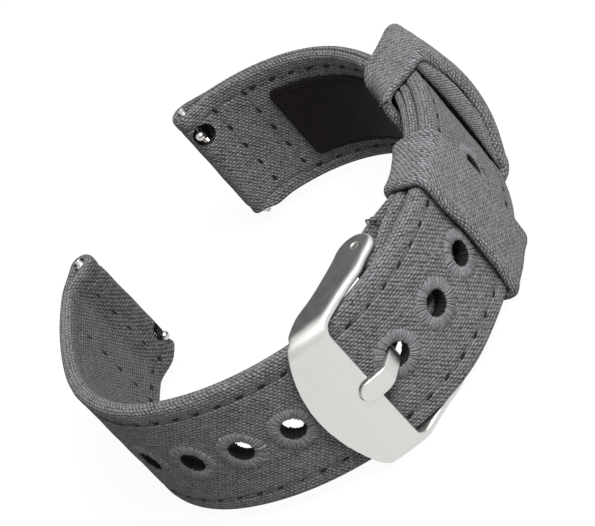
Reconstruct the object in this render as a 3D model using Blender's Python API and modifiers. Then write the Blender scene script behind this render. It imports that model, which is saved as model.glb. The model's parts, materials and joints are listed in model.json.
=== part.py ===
"""Two-piece canvas watch strap, buckled into an open loop and lying on its long edge.

A long folded canvas with stitched eyelets passes through a tang buckle on the end of a short folded
canvas. One sewn and one loose keeper hold the overlap, and a quick-release spring bar sits in the
fold at each lug end. Units are metres, +Z is up and runs across the strap's width, and the origin is
the centre of the loop's footprint at its lowest point.
"""
import bisect
import math

import bmesh
import bpy
from mathutils import Vector

MM = 0.001

# Loop line between the two straps, as tangent arcs from the long strap's lug end
LUG_RUN = 24.0 * MM
LUG_RADIUS = 56.5 * MM
LOWER_RUN = 22.0 * MM
LOWER_RADIUS = 24.5 * MM
BOTTOM_RUN = 24.0 * MM
BOTTOM_RADIUS = 38.5 * MM
BUCKLE_RUN = 18.0 * MM
BUCKLE_RADIUS = 21.5 * MM
KEEPER_RUN = 51.5 * MM
KEEPER_RADIUS = 39.5 * MM
CROWN_RUN = 33.5 * MM
CROWN_RADIUS = 28.5 * MM

# Clearances
SEAT_GAP = 0.30 * MM
CLOTH_GAP = 0.15 * MM
BAR_GAP = 0.12 * MM
OVERRUN = 1.0 * MM
SNAP = 0.01 * MM
MITRE_LIMIT_SHARE = 0.5
FLAT_ANGLE = math.radians(0.5)
SMOOTH_ANGLE = math.radians(38)

# Canvas
STRAP_WIDTH = 22.0 * MM
PLY = 0.90 * MM
PLY_GAP = 0.40 * MM
EDGE_ROUND = 0.22 * MM
CROSS_STEP = 2.9 * MM
FOLD_STEP = 0.55 * MM
FOLD_EASE = 5.5 * MM
TAIL_BEYOND_LAST_EYELET = 16.5 * MM
TAIL_POINT = 7.0 * MM
SEAM_BEYOND_KEEPER = 2.0 * MM
SEAM_GAP = 0.60 * MM

# Eyelets
EYELET_COUNT = 10
TANG_EYELET = 6
FIRST_EYELET = 38.0 * MM
EYELET_PITCH = 8.0 * MM
EYELET_BORE_RADIUS = 1.65 * MM
EYELET_WALL = 0.40 * MM
EYELET_RING_RADIUS = 3.60 * MM
EYELET_RING_HEIGHT = 0.32 * MM
EYELET_EDGE_ROUND = 0.10 * MM

# Leather backing
LEATHER_THICKNESS = 0.50 * MM
LEATHER_LENGTH = 42.0 * MM
LEATHER_WIDTH = 13.8 * MM
LEATHER_FROM_LUG = 15.0 * MM
LEATHER_CORNER = 0.8 * MM

# Spring bars
BAR_RADIUS = 0.90 * MM
BAR_BORE_RADIUS = 0.68 * MM
BAR_LENGTH = 20.4 * MM
BAR_END_INSET = 1.6 * MM
LONG_BAR_DROP = 0.4 * MM
BAR_SPAN = 23.1 * MM
BAR_CHAMFER = 0.12 * MM
LIP = 0.40 * MM
NECK_GAP = 0.08 * MM
TIP_RADIUS = 0.42 * MM
COLLAR_LENGTH = 0.50 * MM
PLUNGER_RADIUS = 0.58 * MM
PLUNGER_LENGTH = 6.2 * MM
FIXED_SHANK_LENGTH = 2.5 * MM
BORE_DEPTH = 12.0 * MM
SPRING_WIRE_RADIUS = 0.09 * MM
SPRING_RADIUS = 0.42 * MM
SPRING_TURNS = 5
KNOB_RADIUS = 0.78 * MM
KNOB_STEM_RADIUS = 0.32 * MM
KNOB_HEIGHT = 2.05 * MM
KNOB_FROM_END = 3.2 * MM
RELEASE_TRAVEL = 1.2 * MM
NOTCH_LENGTH = 3.0 * MM
NOTCH_WIDTH = 2.8 * MM

# Buckle
TANG_REACH = 7.2 * MM
HINGE_DROP = 2.7 * MM
EYE_RADIUS = 2.7 * MM
ARM_THICKNESS = 1.4 * MM
ARM_EDGE_ROUND = 0.30 * MM
PLATE_THICKNESS = 1.3 * MM
PLATE_BACK_FROM_EYELET = 4.3 * MM
PLATE_DEPTH = 7.9 * MM
PLATE_BOW = 3.3 * MM
PLATE_CORNER = 1.8 * MM
PLATE_EDGE_ROUND = 0.28 * MM
PLATE_CUT_STEP = 1.2 * MM
SIDE_STEP = 0.15 * MM
ARM_NOSE_FROM_PLATE_FRONT = 3.5 * MM
ARM_LINE_SHARES = (
    (0.10, 0.00, 0.95),
    (0.24, 0.09, 0.87),
    (0.46, 0.29, 0.86),
    (0.59, 0.43, 0.85),
    (0.69, 0.56, 0.87),
    (0.78, 0.69, 0.87),
    (0.88, 0.84, 0.60),
    (0.96, 0.97, 0.32),
)
BUCKLE_BAR_LENGTH = 22.0 * MM
BUCKLE_TIP_REACH = 1.15 * MM
BUCKLE_SHANK_LENGTH = 3.0 * MM
BUCKLE_SPRING_TURNS = 8

# Tang
TANG_THICKNESS = 0.95 * MM
TANG_WIDTH = 2.0 * MM
TANG_TIP_WIDTH = 3.2 * MM
TANG_EDGE_ROUND = 0.20 * MM
TANG_SLOT_WIDTH = 2.8 * MM
TANG_SLOT_RUN = 3.4 * MM
TANG_TIP_OVERLAP = 1.9 * MM
TANG_RECESS_DEPTH = 0.45 * MM
TANG_RECESS_SIDE = 0.25 * MM
TANG_RECESS_CORNER_SHARE = 0.7
TANG_HEAD_LENGTH = 3.2 * MM
TANG_FLARE_LENGTH = 1.9 * MM
TANG_CURL_START = math.radians(165)
TANG_CURL_TURN = math.radians(-275)
TANG_UNDER_SHARES = (
    (0.60, 0.08),
    (0.93, 0.48),
    (1.00, 1.00),
)
TANG_OVER_SHARES = (
    (0.02, 0.00),
    (0.22, 0.58),
    (0.37, 0.93),
    (0.47, 1.03),
    (0.62, 1.00),
    (1.00, 1.00),
)

# Keepers
FIXED_KEEPER_FROM_EYELET = 23.0 * MM
FIXED_KEEPER_WIDTH = 10.0 * MM
FLOATING_KEEPER_FROM_FIXED = 24.0 * MM
FLOATING_KEEPER_WIDTH = 11.0 * MM
KEEPER_WALL = 1.25 * MM
KEEPER_INNER_CORNER = 0.5 * MM
KEEPER_EDGE_ROUND = 0.40 * MM
FLOATING_KEEPER_RISE = 1.5 * MM
FLOATING_KEEPER_ARCH = 1.95 * MM
FLOATING_KEEPER_TILT = 0.75 * MM
FLOATING_KEEPER_SLANT = 3.7 * MM
SLANT_MIDDLE_SHARE = 0.5
FIXED_KEEPER_ARCH = 0.35 * MM
KEEPER_LINING = 0.9 * MM
LINING_ARCH = 0.9 * MM
LINING_BULGE = 0.8 * MM
LINING_TILT = 0.35 * MM
ARCH_STEPS = 8
LAYER_GAP_SHARE = 0.80

# Worked out from the sizes above
LOOP_ARCS = (
    (LUG_RUN, LUG_RADIUS),
    (LOWER_RUN, LOWER_RADIUS),
    (BOTTOM_RUN, BOTTOM_RADIUS),
    (BUCKLE_RUN, BUCKLE_RADIUS),
    (KEEPER_RUN, KEEPER_RADIUS),
    (CROWN_RUN, CROWN_RADIUS),
)
LOOP_LENGTH = sum(run for run, _ in LOOP_ARCS)
STRAP_THICKNESS = 2 * PLY + PLY_GAP
HALF_WIDTH = STRAP_WIDTH / 2
LONG_OUTER_LEVEL = STRAP_THICKNESS - PLY / 2
LONG_INNER_LEVEL = PLY / 2
SHORT_OUTER_LEVEL = -CLOTH_GAP - PLY / 2
SHORT_INNER_LEVEL = -CLOTH_GAP - STRAP_THICKNESS + PLY / 2
SHORT_INNER_FACE = -CLOTH_GAP - STRAP_THICKNESS
FOLD_RADIUS = BAR_RADIUS + BAR_GAP + PLY / 2
LONG_BAR_AT = BAR_END_INSET
LONG_BAR_LEVEL = -LONG_BAR_DROP
SHORT_BAR_AT = LOOP_LENGTH - BAR_END_INSET
SHORT_BAR_LEVEL = (SHORT_OUTER_LEVEL + SHORT_INNER_LEVEL) / 2
EYELET_PLACES = tuple(FIRST_EYELET + i * EYELET_PITCH for i in range(EYELET_COUNT))
TANG_AT = EYELET_PLACES[TANG_EYELET - 1]
TAIL_AT = EYELET_PLACES[-1] + TAIL_BEYOND_LAST_EYELET
HINGE_AT = TANG_AT + TANG_REACH
HINGE_LEVEL = -HINGE_DROP
WINDOW_HALF = HALF_WIDTH + SEAT_GAP
BUCKLE_HALF = WINDOW_HALF + ARM_THICKNESS
PLATE_UNDER = STRAP_THICKNESS + CLOTH_GAP + EYELET_RING_HEIGHT + CLOTH_GAP
PLATE_TOP = PLATE_UNDER + PLATE_THICKNESS
PLATE_BACK = TANG_AT - PLATE_BACK_FROM_EYELET
PLATE_FRONT = PLATE_BACK - PLATE_DEPTH
FIXED_KEEPER_AT = TANG_AT + FIXED_KEEPER_FROM_EYELET
FLOATING_KEEPER_AT = FIXED_KEEPER_AT + FLOATING_KEEPER_FROM_FIXED
LEATHER_AT = LOOP_LENGTH - LEATHER_FROM_LUG - LEATHER_LENGTH / 2
LEATHER_UNDER = SHORT_INNER_FACE - CLOTH_GAP - LEATHER_THICKNESS
SEAM_AT = FLOATING_KEEPER_AT + FLOATING_KEEPER_WIDTH / 2 + SEAM_BEYOND_KEEPER

STRAP = bpy.data.collections.new("canvas_watch_strap")
CUTTERS = bpy.data.collections.new("cutters")


class Finish:
    """A plain material: colour, roughness and metallic value."""

    def __init__(self, name, colour, roughness, metallic=0.0):
        self.material = bpy.data.materials.new(name)
        self.material.use_nodes = True
        shader = self.material.node_tree.nodes["Principled BSDF"]
        shader.inputs["Base Color"].default_value = (*colour, 1.0)
        shader.inputs["Roughness"].default_value = roughness
        shader.inputs["Metallic"].default_value = metallic
        self.material.diffuse_color = (*colour, 1.0)


def clear_scene():
    """Removes every object that the file opened with."""
    for old in list(bpy.data.objects):
        bpy.data.objects.remove(old, do_unlink=True)


def loop_frame(at):
    """Point, heading and outward direction of the loop line, `at` metres from the long lug end."""
    point = Vector((0.0, 0.0))
    heading = 0.0
    left = at
    for index, (run, radius) in enumerate(LOOP_ARCS):
        last = index == len(LOOP_ARCS) - 1
        step = left if last or left < run else run
        turn = step / radius
        point = point + radius * Vector((
            math.sin(heading + turn) - math.sin(heading),
            math.cos(heading) - math.cos(heading + turn),
        ))
        heading += turn
        left -= step
        if left <= 0.0:
            break
    along = Vector((math.cos(heading), math.sin(heading)))
    outward = Vector((along.y, -along.x))
    return point, along, outward


def loop_radius(at):
    """Radius of the arc that holds a place along the loop."""
    end = 0.0
    for run, radius in LOOP_ARCS:
        end += run
        if at < end:
            break
    return radius


def loop_point(at, level, across):
    """World point at a place along the loop line, a level outward of it and a place across it."""
    point, _, outward = loop_frame(at)
    spot = point + level * outward
    return Vector((spot.x, spot.y, across))


def smooth_share(share):
    """Eases a share from 0 to 1 with level ends."""
    return share * share * (3.0 - 2.0 * share)


def circle_points(centre, radius_x, radius_y, count):
    """Points of a closed ellipse, the first at +X."""
    return [
        (
            centre[0] + radius_x * math.cos(2 * math.pi * i / count),
            centre[1] + radius_y * math.sin(2 * math.pi * i / count),
        )
        for i in range(count)
    ]


def corner_arc(centre, radius, start, turn, steps):
    """Points of an arc, both ends included; angles in radians."""
    return [
        (
            centre[0] + radius * math.cos(start + turn * i / steps),
            centre[1] + radius * math.sin(start + turn * i / steps),
        )
        for i in range(steps + 1)
    ]


def rounded_rectangle(low, high, corner, steps=3):
    """Points of a rectangle with round corners, counter-clockwise."""
    corners = (
        ((high[0] - corner, low[1] + corner), -math.pi / 2),
        ((high[0] - corner, high[1] - corner), 0.0),
        ((low[0] + corner, high[1] - corner), math.pi / 2),
        ((low[0] + corner, low[1] + corner), math.pi),
    )
    points = []
    for centre, start in corners:
        points += corner_arc(centre, corner, start, math.pi / 2, steps)
    return points


def inset_outline(points, distance):
    """Moves a closed outline towards its inner side, the left one of its direction."""
    moved = []
    for before, spot, after in zip(points[-1:] + points[:-1], points, points[1:] + points[:1]):
        back = (Vector(spot) - Vector(before)).normalized()
        ahead = (Vector(after) - Vector(spot)).normalized()
        side = Vector((-back.y - ahead.y, back.x + ahead.x)).normalized()
        mitre = distance / max(side.dot(Vector((-ahead.y, ahead.x))), MITRE_LIMIT_SHARE)
        moved.append((spot[0] + side.x * mitre, spot[1] + side.y * mitre))
    return moved


def turns_left(points):
    """True where a closed outline runs counter-clockwise."""
    area = sum(a[0] * b[1] - b[0] * a[1] for a, b in zip(points, points[1:] + points[:1]))
    return area > 0.0


def flat_pattern(name, outlines, thickness, edge_round, round_steps=0):
    """Closed bmesh of flat outlines, the first solid and the rest cut out, centred on Z = 0.

    Every edge is rounded within the outline's own size.
    """
    ordered = [points if turns_left(points) else points[::-1] for points in outlines]
    outlines = [inset_outline(ordered[0], edge_round)]
    outlines += [inset_outline(points, -edge_round) for points in ordered[1:]]
    curve = bpy.data.curves.new(name, "CURVE")
    curve.dimensions = "2D"
    curve.fill_mode = "BOTH"
    curve.extrude = thickness / 2 - edge_round
    curve.bevel_depth = edge_round
    curve.bevel_resolution = round_steps
    for outline in outlines:
        spline = curve.splines.new("POLY")
        spline.points.add(len(outline) - 1)
        for point, (x, y) in zip(spline.points, outline):
            point.co = (x, y, 0.0, 1.0)
        spline.use_cyclic_u = True
    holder = bpy.data.objects.new(name, curve)
    STRAP.objects.link(holder)
    graph = bpy.context.evaluated_depsgraph_get()
    mesh = bpy.data.meshes.new_from_object(holder.evaluated_get(graph))
    bpy.data.objects.remove(holder)
    bpy.data.curves.remove(curve)
    shape = bmesh.new()
    shape.from_mesh(mesh)
    bpy.data.meshes.remove(mesh)
    bmesh.ops.remove_doubles(shape, verts=shape.verts, dist=SNAP)
    if len(outlines) == 1:
        bmesh.ops.dissolve_limit(
            shape, angle_limit=FLAT_ANGLE, verts=shape.verts[:], edges=shape.edges[:]
        )
    return shape


def pierce(shape, outlines, depth):
    """Cuts outlines straight through a flat pattern."""
    tools = bmesh.new()
    for outline in outlines:
        tool = flat_pattern("hole", [outline], depth, 0.0)
        mesh = bpy.data.meshes.new("hole")
        face_out(tool)
        tool.to_mesh(mesh)
        tool.free()
        tools.from_mesh(mesh)
        bpy.data.meshes.remove(mesh)
    blank = bpy.data.meshes.new("blank")
    face_out(shape)
    shape.to_mesh(blank)
    shape.free()
    holes = bpy.data.meshes.new("holes")
    tools.to_mesh(holes)
    tools.free()
    holder = bpy.data.objects.new("blank", blank)
    cutters = bpy.data.objects.new("holes", holes)
    for temporary in (holder, cutters):
        STRAP.objects.link(temporary)
    combine(holder, cutters, "DIFFERENCE")
    graph = bpy.context.evaluated_depsgraph_get()
    pierced = bpy.data.meshes.new_from_object(holder.evaluated_get(graph))
    shape = bmesh.new()
    shape.from_mesh(pierced)
    for temporary in (holder, cutters):
        bpy.data.objects.remove(temporary)
    for mesh in (blank, holes, pierced):
        bpy.data.meshes.remove(mesh)
    return shape


def face_out(shape):
    """Makes every face of a closed shape point outwards."""
    bmesh.ops.recalc_face_normals(shape, faces=shape.faces)
    if shape.calc_volume(signed=True) < 0.0:
        bmesh.ops.reverse_faces(shape, faces=shape.faces)


def cut_across(shape, stations):
    """Adds an edge loop across the pattern at each station along X."""
    for station in stations:
        bmesh.ops.bisect_plane(
            shape,
            geom=shape.verts[:] + shape.edges[:] + shape.faces[:],
            dist=SNAP,
            plane_co=(station, 0.0, 0.0),
            plane_no=(1.0, 0.0, 0.0),
        )


def even_stations(start, end, step):
    """Evenly spaced places strictly between two ends, no wider apart than the step."""
    count = max(1, math.ceil((end - start) / step))
    return [start + (end - start) * i / count for i in range(1, count)]


def on_loop(at, level):
    """Route station at a place along the loop and a level outward of it."""
    return at, loop_point(at, level, 0.0).xy


def off_bar(bar_at, bar_level, forward, outward):
    """Route station at true distances from a bar's axis, along the loop there and outward of it."""
    _, along, away = loop_frame(bar_at)
    centre = loop_point(bar_at, bar_level, 0.0).xy
    return bar_at + forward, centre + forward * along + outward * away


class FoldRoute:
    """A path in the loop's plane that a flat pattern is bent along, by developed length."""

    def __init__(self, stations):
        self.stations = stations
        self.points = [point for _, point in stations]
        self.lengths = [0.0]
        for start, end in zip(self.points, self.points[1:]):
            self.lengths.append(self.lengths[-1] + (end - start).length)
        sides = []
        for start, end in zip(self.points, self.points[1:]):
            step = (end - start).normalized()
            sides.append(Vector((step.y, -step.x)))
        self.sides = [sides[0]]
        for before, after in zip(sides, sides[1:]):
            self.sides.append((before + after).normalized())
        self.sides.append(sides[-1])

    @property
    def length(self):
        """Developed length of the whole route."""
        return self.lengths[-1]

    def along_at(self, at, crossing=0):
        """Developed length where the route passes a place along the loop, for the nth time."""
        found = []
        for i, (start, end) in enumerate(zip(self.stations, self.stations[1:])):
            low, high = sorted((start[0], end[0]))
            if low <= at < high:
                share = (at - start[0]) / (end[0] - start[0])
                found.append(self.lengths[i] + share * (self.lengths[i + 1] - self.lengths[i]))
        return found[crossing]

    def bend(self, shape):
        """Moves a pattern's points from developed length, width and thickness onto the route."""
        for vert in shape.verts:
            along, across, lift = vert.co
            i = min(max(bisect.bisect_right(self.lengths, along) - 1, 0), len(self.lengths) - 2)
            share = (along - self.lengths[i]) / (self.lengths[i + 1] - self.lengths[i])
            spot = self.points[i].lerp(self.points[i + 1], share)
            side = self.sides[i].lerp(self.sides[i + 1], share).normalized()
            spot = spot + side * lift
            vert.co = (spot.x, spot.y, across)


def bend_on_loop(shape):
    """Moves points from (along the loop, level, across) to the world."""
    for vert in shape.verts:
        vert.co = loop_point(*vert.co)


def run_stations(start, end, level, step):
    """Places of a straight run at one level, both ends included."""
    count = max(1, math.ceil(abs(end - start) / step))
    return [on_loop(start + (end - start) * i / count, level) for i in range(count + 1)]


def fold_stations(bar_at, bar_level, side, first, levels):
    """Places of a fold round a bar: ease in, half turn and ease out.

    `side` is the way that the fold's tip points along the loop, `first` is +1 where the canvas comes
    in on the outer side, and `levels` are those of the runs before and after the fold.
    """
    ease_steps = math.ceil(FOLD_EASE / (2 * FOLD_STEP))
    turn_steps = math.ceil(math.pi * FOLD_RADIUS / FOLD_STEP)
    ease_in = []
    ease_out = []
    for i in range(ease_steps + 1):
        share = i / ease_steps
        at = bar_at - side * FOLD_EASE * (1.0 - share)
        eased = smooth_share(share)
        for legs, level, sign in ((ease_in, levels[0], first), (ease_out, levels[1], -first)):
            legs.append(on_loop(at, level + (bar_level + sign * FOLD_RADIUS - level) * eased))
    turn = []
    for i in range(1, turn_steps):
        angle = math.pi * i / turn_steps
        turn.append(off_bar(
            bar_at,
            bar_level,
            side * FOLD_RADIUS * math.sin(angle),
            first * FOLD_RADIUS * math.cos(angle),
        ))
    return ease_in + turn + ease_out[::-1]


def make_object(name, shape, finish, joint_at=None):
    """Turns a bmesh into a named object whose origin is at its joint or its own middle."""
    face_out(shape)
    mesh = bpy.data.meshes.new(name)
    shape.to_mesh(mesh)
    shape.free()
    low = Vector([min(vert.co[k] for vert in mesh.vertices) for k in range(3)])
    high = Vector([max(vert.co[k] for vert in mesh.vertices) for k in range(3)])
    origin = (low + high) / 2 if joint_at is None else joint_at
    for vert in mesh.vertices:
        vert.co -= origin
    mesh.shade_smooth()
    mesh.set_sharp_from_angle(angle=SMOOTH_ANGLE)
    mesh.materials.append(finish.material)
    piece = bpy.data.objects.new(name, mesh)
    piece.location = origin
    STRAP.objects.link(piece)
    return piece


def turned(name, profile, steps=14):
    """Bmesh of a profile of (radius, height) turned round Z, given down its outer side."""
    mesh = bpy.data.meshes.new(name)
    loop = bmesh.new()
    verts = [loop.verts.new((radius, 0.0, height)) for radius, height in profile]
    for start, end in zip(verts, verts[1:] + verts[:1]):
        if start.co.x > 0.0 or end.co.x > 0.0:
            loop.edges.new((start, end))
    loop.to_mesh(mesh)
    loop.free()
    holder = bpy.data.objects.new(name, mesh)
    STRAP.objects.link(holder)
    screw = holder.modifiers.new("turn", "SCREW")
    screw.steps = steps
    screw.render_steps = steps
    screw.use_merge_vertices = True
    screw.merge_threshold = SNAP
    screw.use_normal_calculate = True
    graph = bpy.context.evaluated_depsgraph_get()
    whole = bpy.data.meshes.new_from_object(holder.evaluated_get(graph))
    bpy.data.objects.remove(holder)
    bpy.data.meshes.remove(mesh)
    shape = bmesh.new()
    shape.from_mesh(whole)
    bpy.data.meshes.remove(whole)
    return shape


def tube(name, points, radius, sides):
    """Bmesh of a round wire through points, with flat ends."""
    curve = bpy.data.curves.new(name, "CURVE")
    curve.dimensions = "3D"
    curve.bevel_depth = radius
    curve.bevel_resolution = sides // 2 - 2
    curve.use_fill_caps = True
    spline = curve.splines.new("POLY")
    spline.points.add(len(points) - 1)
    for point, spot in zip(spline.points, points):
        point.co = (*spot, 1.0)
    holder = bpy.data.objects.new(name, curve)
    STRAP.objects.link(holder)
    graph = bpy.context.evaluated_depsgraph_get()
    mesh = bpy.data.meshes.new_from_object(holder.evaluated_get(graph))
    bpy.data.objects.remove(holder)
    bpy.data.curves.remove(curve)
    shape = bmesh.new()
    shape.from_mesh(mesh)
    bpy.data.meshes.remove(mesh)
    bmesh.ops.remove_doubles(shape, verts=shape.verts, dist=SNAP)
    return shape


def block(low, high):
    """Bmesh of a box between two corners."""
    shape = bmesh.new()
    bmesh.ops.create_cube(shape, size=1.0)
    for vert in shape.verts:
        vert.co = [
            low[k] + (vert.co[k] + 0.5) * (high[k] - low[k])
            for k in range(3)
        ]
    return shape


def cutter(name, shape, place=None):
    """Hidden object that cuts another; `place` moves its points first."""
    if place is not None:
        place(shape)
    face_out(shape)
    mesh = bpy.data.meshes.new(name)
    shape.to_mesh(mesh)
    shape.free()
    tool = bpy.data.objects.new(name, mesh)
    tool.hide_render = True
    tool.display_type = "WIRE"
    CUTTERS.objects.link(tool)
    return tool


def combine(target, tool, operation):
    """Adds an exact Boolean of a tool to an object."""
    modifier = target.modifiers.new(tool.name, "BOOLEAN")
    modifier.operation = operation
    modifier.solver = "EXACT"
    modifier.object = tool


def tail_outline(length):
    """Outline of a folded canvas laid flat, with the same round point at both ends."""
    steps = 8
    left = []
    for i in range(steps + 1):
        angle = math.pi / 2 + math.pi * i / steps
        left.append((TAIL_POINT * (1.0 + math.cos(angle)), HALF_WIDTH * math.sin(angle)))
    right = [(length - x, -y) for x, y in left]
    return left + right


def build_long_canvas(finish):
    """Long strap: one canvas folded round the lug bar, both layers cut for the eyelets."""
    stations = run_stations(TAIL_AT, LONG_BAR_AT + FOLD_EASE, LONG_OUTER_LEVEL, CROSS_STEP)[:-1]
    stations += fold_stations(
        LONG_BAR_AT, LONG_BAR_LEVEL, -1.0, 1.0, (LONG_OUTER_LEVEL, LONG_INNER_LEVEL)
    )
    stations += run_stations(LONG_BAR_AT + FOLD_EASE, TAIL_AT, LONG_INNER_LEVEL, CROSS_STEP)[1:]
    route = FoldRoute(stations)
    hole = EYELET_BORE_RADIUS + EYELET_WALL + CLOTH_GAP
    holes = [notch_outline(route.along_at(LONG_BAR_AT, 1), -1.0)]
    for place in EYELET_PLACES:
        for crossing in (0, 1):
            centre = (route.along_at(place, crossing), 0.0)
            holes.append(circle_points(centre, hole, hole, 16))
    shape = flat_pattern("long_canvas", [tail_outline(route.length)], PLY, EDGE_ROUND)
    cut_across(shape, canvas_cuts(route, EYELET_PLACES))
    shape = pierce(shape, holes, PLY + OVERRUN)
    route.bend(shape)
    return make_object("long_canvas", shape, finish)


def notch_outline(along, side):
    """Round notch that lets a release knob through the fold, on one side of the strap."""
    across = side * (BAR_LENGTH / 2 - KNOB_FROM_END - RELEASE_TRAVEL / 2)
    return circle_points((along, across), NOTCH_WIDTH / 2, NOTCH_LENGTH / 2, 14)


def canvas_cuts(route, holes):
    """Places to cut a pattern across: at each route station, but clear of the holes' edges."""
    reach = EYELET_BORE_RADIUS + EYELET_WALL + 2 * CLOTH_GAP
    cuts = []
    centres = []
    for hole in holes:
        centres += [route.along_at(hole, crossing) for crossing in (0, 1)]
    for along in route.lengths[1:-1]:
        if all(abs(along - centre) > reach for centre in centres):
            cuts.append(along)
    return sorted(cuts + centres)


def build_short_canvas(finish):
    """Short strap: one canvas folded round the buckle bar and the lug bar, its ends meeting inside."""
    stations = run_stations(SEAM_AT, HINGE_AT + FOLD_EASE, SHORT_INNER_LEVEL, CROSS_STEP)[:-1]
    stations += fold_stations(
        HINGE_AT, HINGE_LEVEL, -1.0, -1.0, (SHORT_INNER_LEVEL, SHORT_OUTER_LEVEL)
    )
    stations += run_stations(
        HINGE_AT + FOLD_EASE, SHORT_BAR_AT - FOLD_EASE, SHORT_OUTER_LEVEL, CROSS_STEP
    )[1:-1]
    stations += fold_stations(
        SHORT_BAR_AT, SHORT_BAR_LEVEL, 1.0, 1.0, (SHORT_OUTER_LEVEL, SHORT_INNER_LEVEL)
    )
    stations += run_stations(
        SHORT_BAR_AT - FOLD_EASE, SEAM_AT + SEAM_GAP, SHORT_INNER_LEVEL, CROSS_STEP
    )[1:]
    route = FoldRoute(stations)
    outline = [
        (0.0, -HALF_WIDTH),
        (route.length, -HALF_WIDTH),
        (route.length, HALF_WIDTH),
        (0.0, HALF_WIDTH),
    ]
    slot_middle = (route.along_at(HINGE_AT, 0) + route.along_at(HINGE_AT, 1)) / 2
    slot_half = math.pi * FOLD_RADIUS / 2 + TANG_SLOT_RUN
    slot = rounded_rectangle(
        (slot_middle - slot_half, -TANG_SLOT_WIDTH / 2),
        (slot_middle + slot_half, TANG_SLOT_WIDTH / 2),
        TANG_SLOT_WIDTH / 2,
    )
    knob_along = route.along_at(SHORT_BAR_AT, 1)
    shape = flat_pattern("short_canvas", [outline], PLY, EDGE_ROUND)
    cut_across(shape, canvas_cuts(route, ()))
    shape = pierce(shape, [slot, notch_outline(knob_along, 1.0)], PLY + OVERRUN)
    route.bend(shape)
    return make_object("short_canvas", shape, finish)


def build_leather(finish):
    """Leather backing under the short strap, over the seam of its canvas."""
    outline = rounded_rectangle(
        (LEATHER_AT - LEATHER_LENGTH / 2, -LEATHER_WIDTH / 2),
        (LEATHER_AT + LEATHER_LENGTH / 2, LEATHER_WIDTH / 2),
        LEATHER_CORNER,
    )
    shape = flat_pattern("leather_backing", [outline], LEATHER_THICKNESS, 0.0)
    cut_across(shape, even_stations(
        LEATHER_AT - LEATHER_LENGTH / 2, LEATHER_AT + LEATHER_LENGTH / 2, CROSS_STEP
    ))
    middle = LEATHER_UNDER + LEATHER_THICKNESS / 2
    for vert in shape.verts:
        vert.co = (vert.co.x, middle - vert.co.z, vert.co.y)
    bend_on_loop(shape)
    return make_object("leather_backing", shape, finish)


def build_eyelet(number, place, finish):
    """Thread-wrapped eyelet: a ring on the outer face and a sleeve down through both layers."""
    bore = EYELET_BORE_RADIUS
    sleeve = bore + EYELET_WALL
    under = STRAP_THICKNESS + CLOTH_GAP
    top = under + EYELET_RING_HEIGHT
    soft = EYELET_EDGE_ROUND
    profile = [
        (bore + soft, top),
        (EYELET_RING_RADIUS - soft, top),
        (EYELET_RING_RADIUS, top - soft),
        (EYELET_RING_RADIUS, under),
        (sleeve, under),
        (sleeve, 0.0),
        (bore, 0.0),
        (bore, top - soft),
    ]
    name = f"eyelet_{number:02d}"
    shape = turned(name, profile, steps=16)
    radius = loop_radius(place)
    for vert in shape.verts:
        x, y, level = vert.co
        vert.co = (place + x * radius / (radius + level), level, y)
    bend_on_loop(shape)
    return make_object(name, shape, finish)


def arch_points(span, level, rise, tilt, reach_share):
    """Points of a shallow arch, (across, level), over a share of its half span to either side."""
    points = []
    for i in range(ARCH_STEPS + 1):
        share = reach_share * (1.0 - 2.0 * i / ARCH_STEPS)
        points.append((span * share, level + tilt * share + rise * (1.0 - share * share)))
    return points


def keeper_outline(low, high, half, corner, arch, tilt):
    """Outline of a keeper across the strap, (across, level), with an arched outer side.

    `tilt` is how much the outer side's upper end stands above the middle of its two ends.
    """
    steps = 3
    points = corner_arc((half - corner, low + corner), corner, -math.pi / 2, math.pi / 2, steps)
    points += corner_arc((half - corner, high + tilt - corner), corner, 0.0, math.pi / 2, steps)
    points += arch_points(half - corner, high, arch, tilt, 1.0)[1:-1]
    points += corner_arc((corner - half, high - tilt - corner), corner, math.pi / 2, math.pi / 2, steps)
    points += corner_arc((corner - half, low + corner), corner, math.pi, math.pi / 2, steps)
    return points


def build_keeper(
    name, place, width, low, high, arch, finish, tilt=0.0, slant=0.0, lining=None, joint_at=None
):
    """Closed canvas band round both straps, from its inner faces `low` and `high`.

    `slant` is how far its outer side runs ahead of its inner side along the loop. `lining` is the
    inner face's level where a second, bulged layer lies under the band.
    """
    half = HALF_WIDTH + CLOTH_GAP
    holes = [keeper_outline(low, high, half, KEEPER_INNER_CORNER, arch, tilt)]
    if lining is not None:
        span = half - KEEPER_INNER_CORNER
        over = arch_points(span, high, arch, tilt, LAYER_GAP_SHARE)
        under = arch_points(
            span, lining + KEEPER_LINING, LINING_ARCH + LINING_BULGE, LINING_TILT, LAYER_GAP_SHARE
        )
        holes = [keeper_outline(low, lining, half, KEEPER_INNER_CORNER, LINING_ARCH, 0.0), over + under[::-1]]
    outer = keeper_outline(
        low - KEEPER_WALL,
        high + KEEPER_WALL,
        half + KEEPER_WALL,
        KEEPER_INNER_CORNER + KEEPER_WALL,
        arch,
        tilt,
    )
    shape = flat_pattern(name, [outer] + holes, width, KEEPER_EDGE_ROUND, round_steps=1)
    for vert in shape.verts:
        vert.co = (vert.co.z, vert.co.y, vert.co.x)
    cut_across(shape, even_stations(
        KEEPER_EDGE_ROUND - width / 2, width / 2 - KEEPER_EDGE_ROUND, CROSS_STEP
    ))
    for vert in shape.verts:
        along, level, across = vert.co
        lead = slant * ((level - low) / (high - low) - SLANT_MIDDLE_SHARE)
        vert.co = (place + lead + along, level, across)
    bend_on_loop(shape)
    return make_object(name, shape, finish, joint_at)


def keeper_centre():
    """Centre of the arc that both keepers sit on."""
    point, _, outward = loop_frame(FIXED_KEEPER_AT)
    centre = point - KEEPER_RADIUS * outward
    return Vector((centre.x, centre.y, 0.0))


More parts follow.
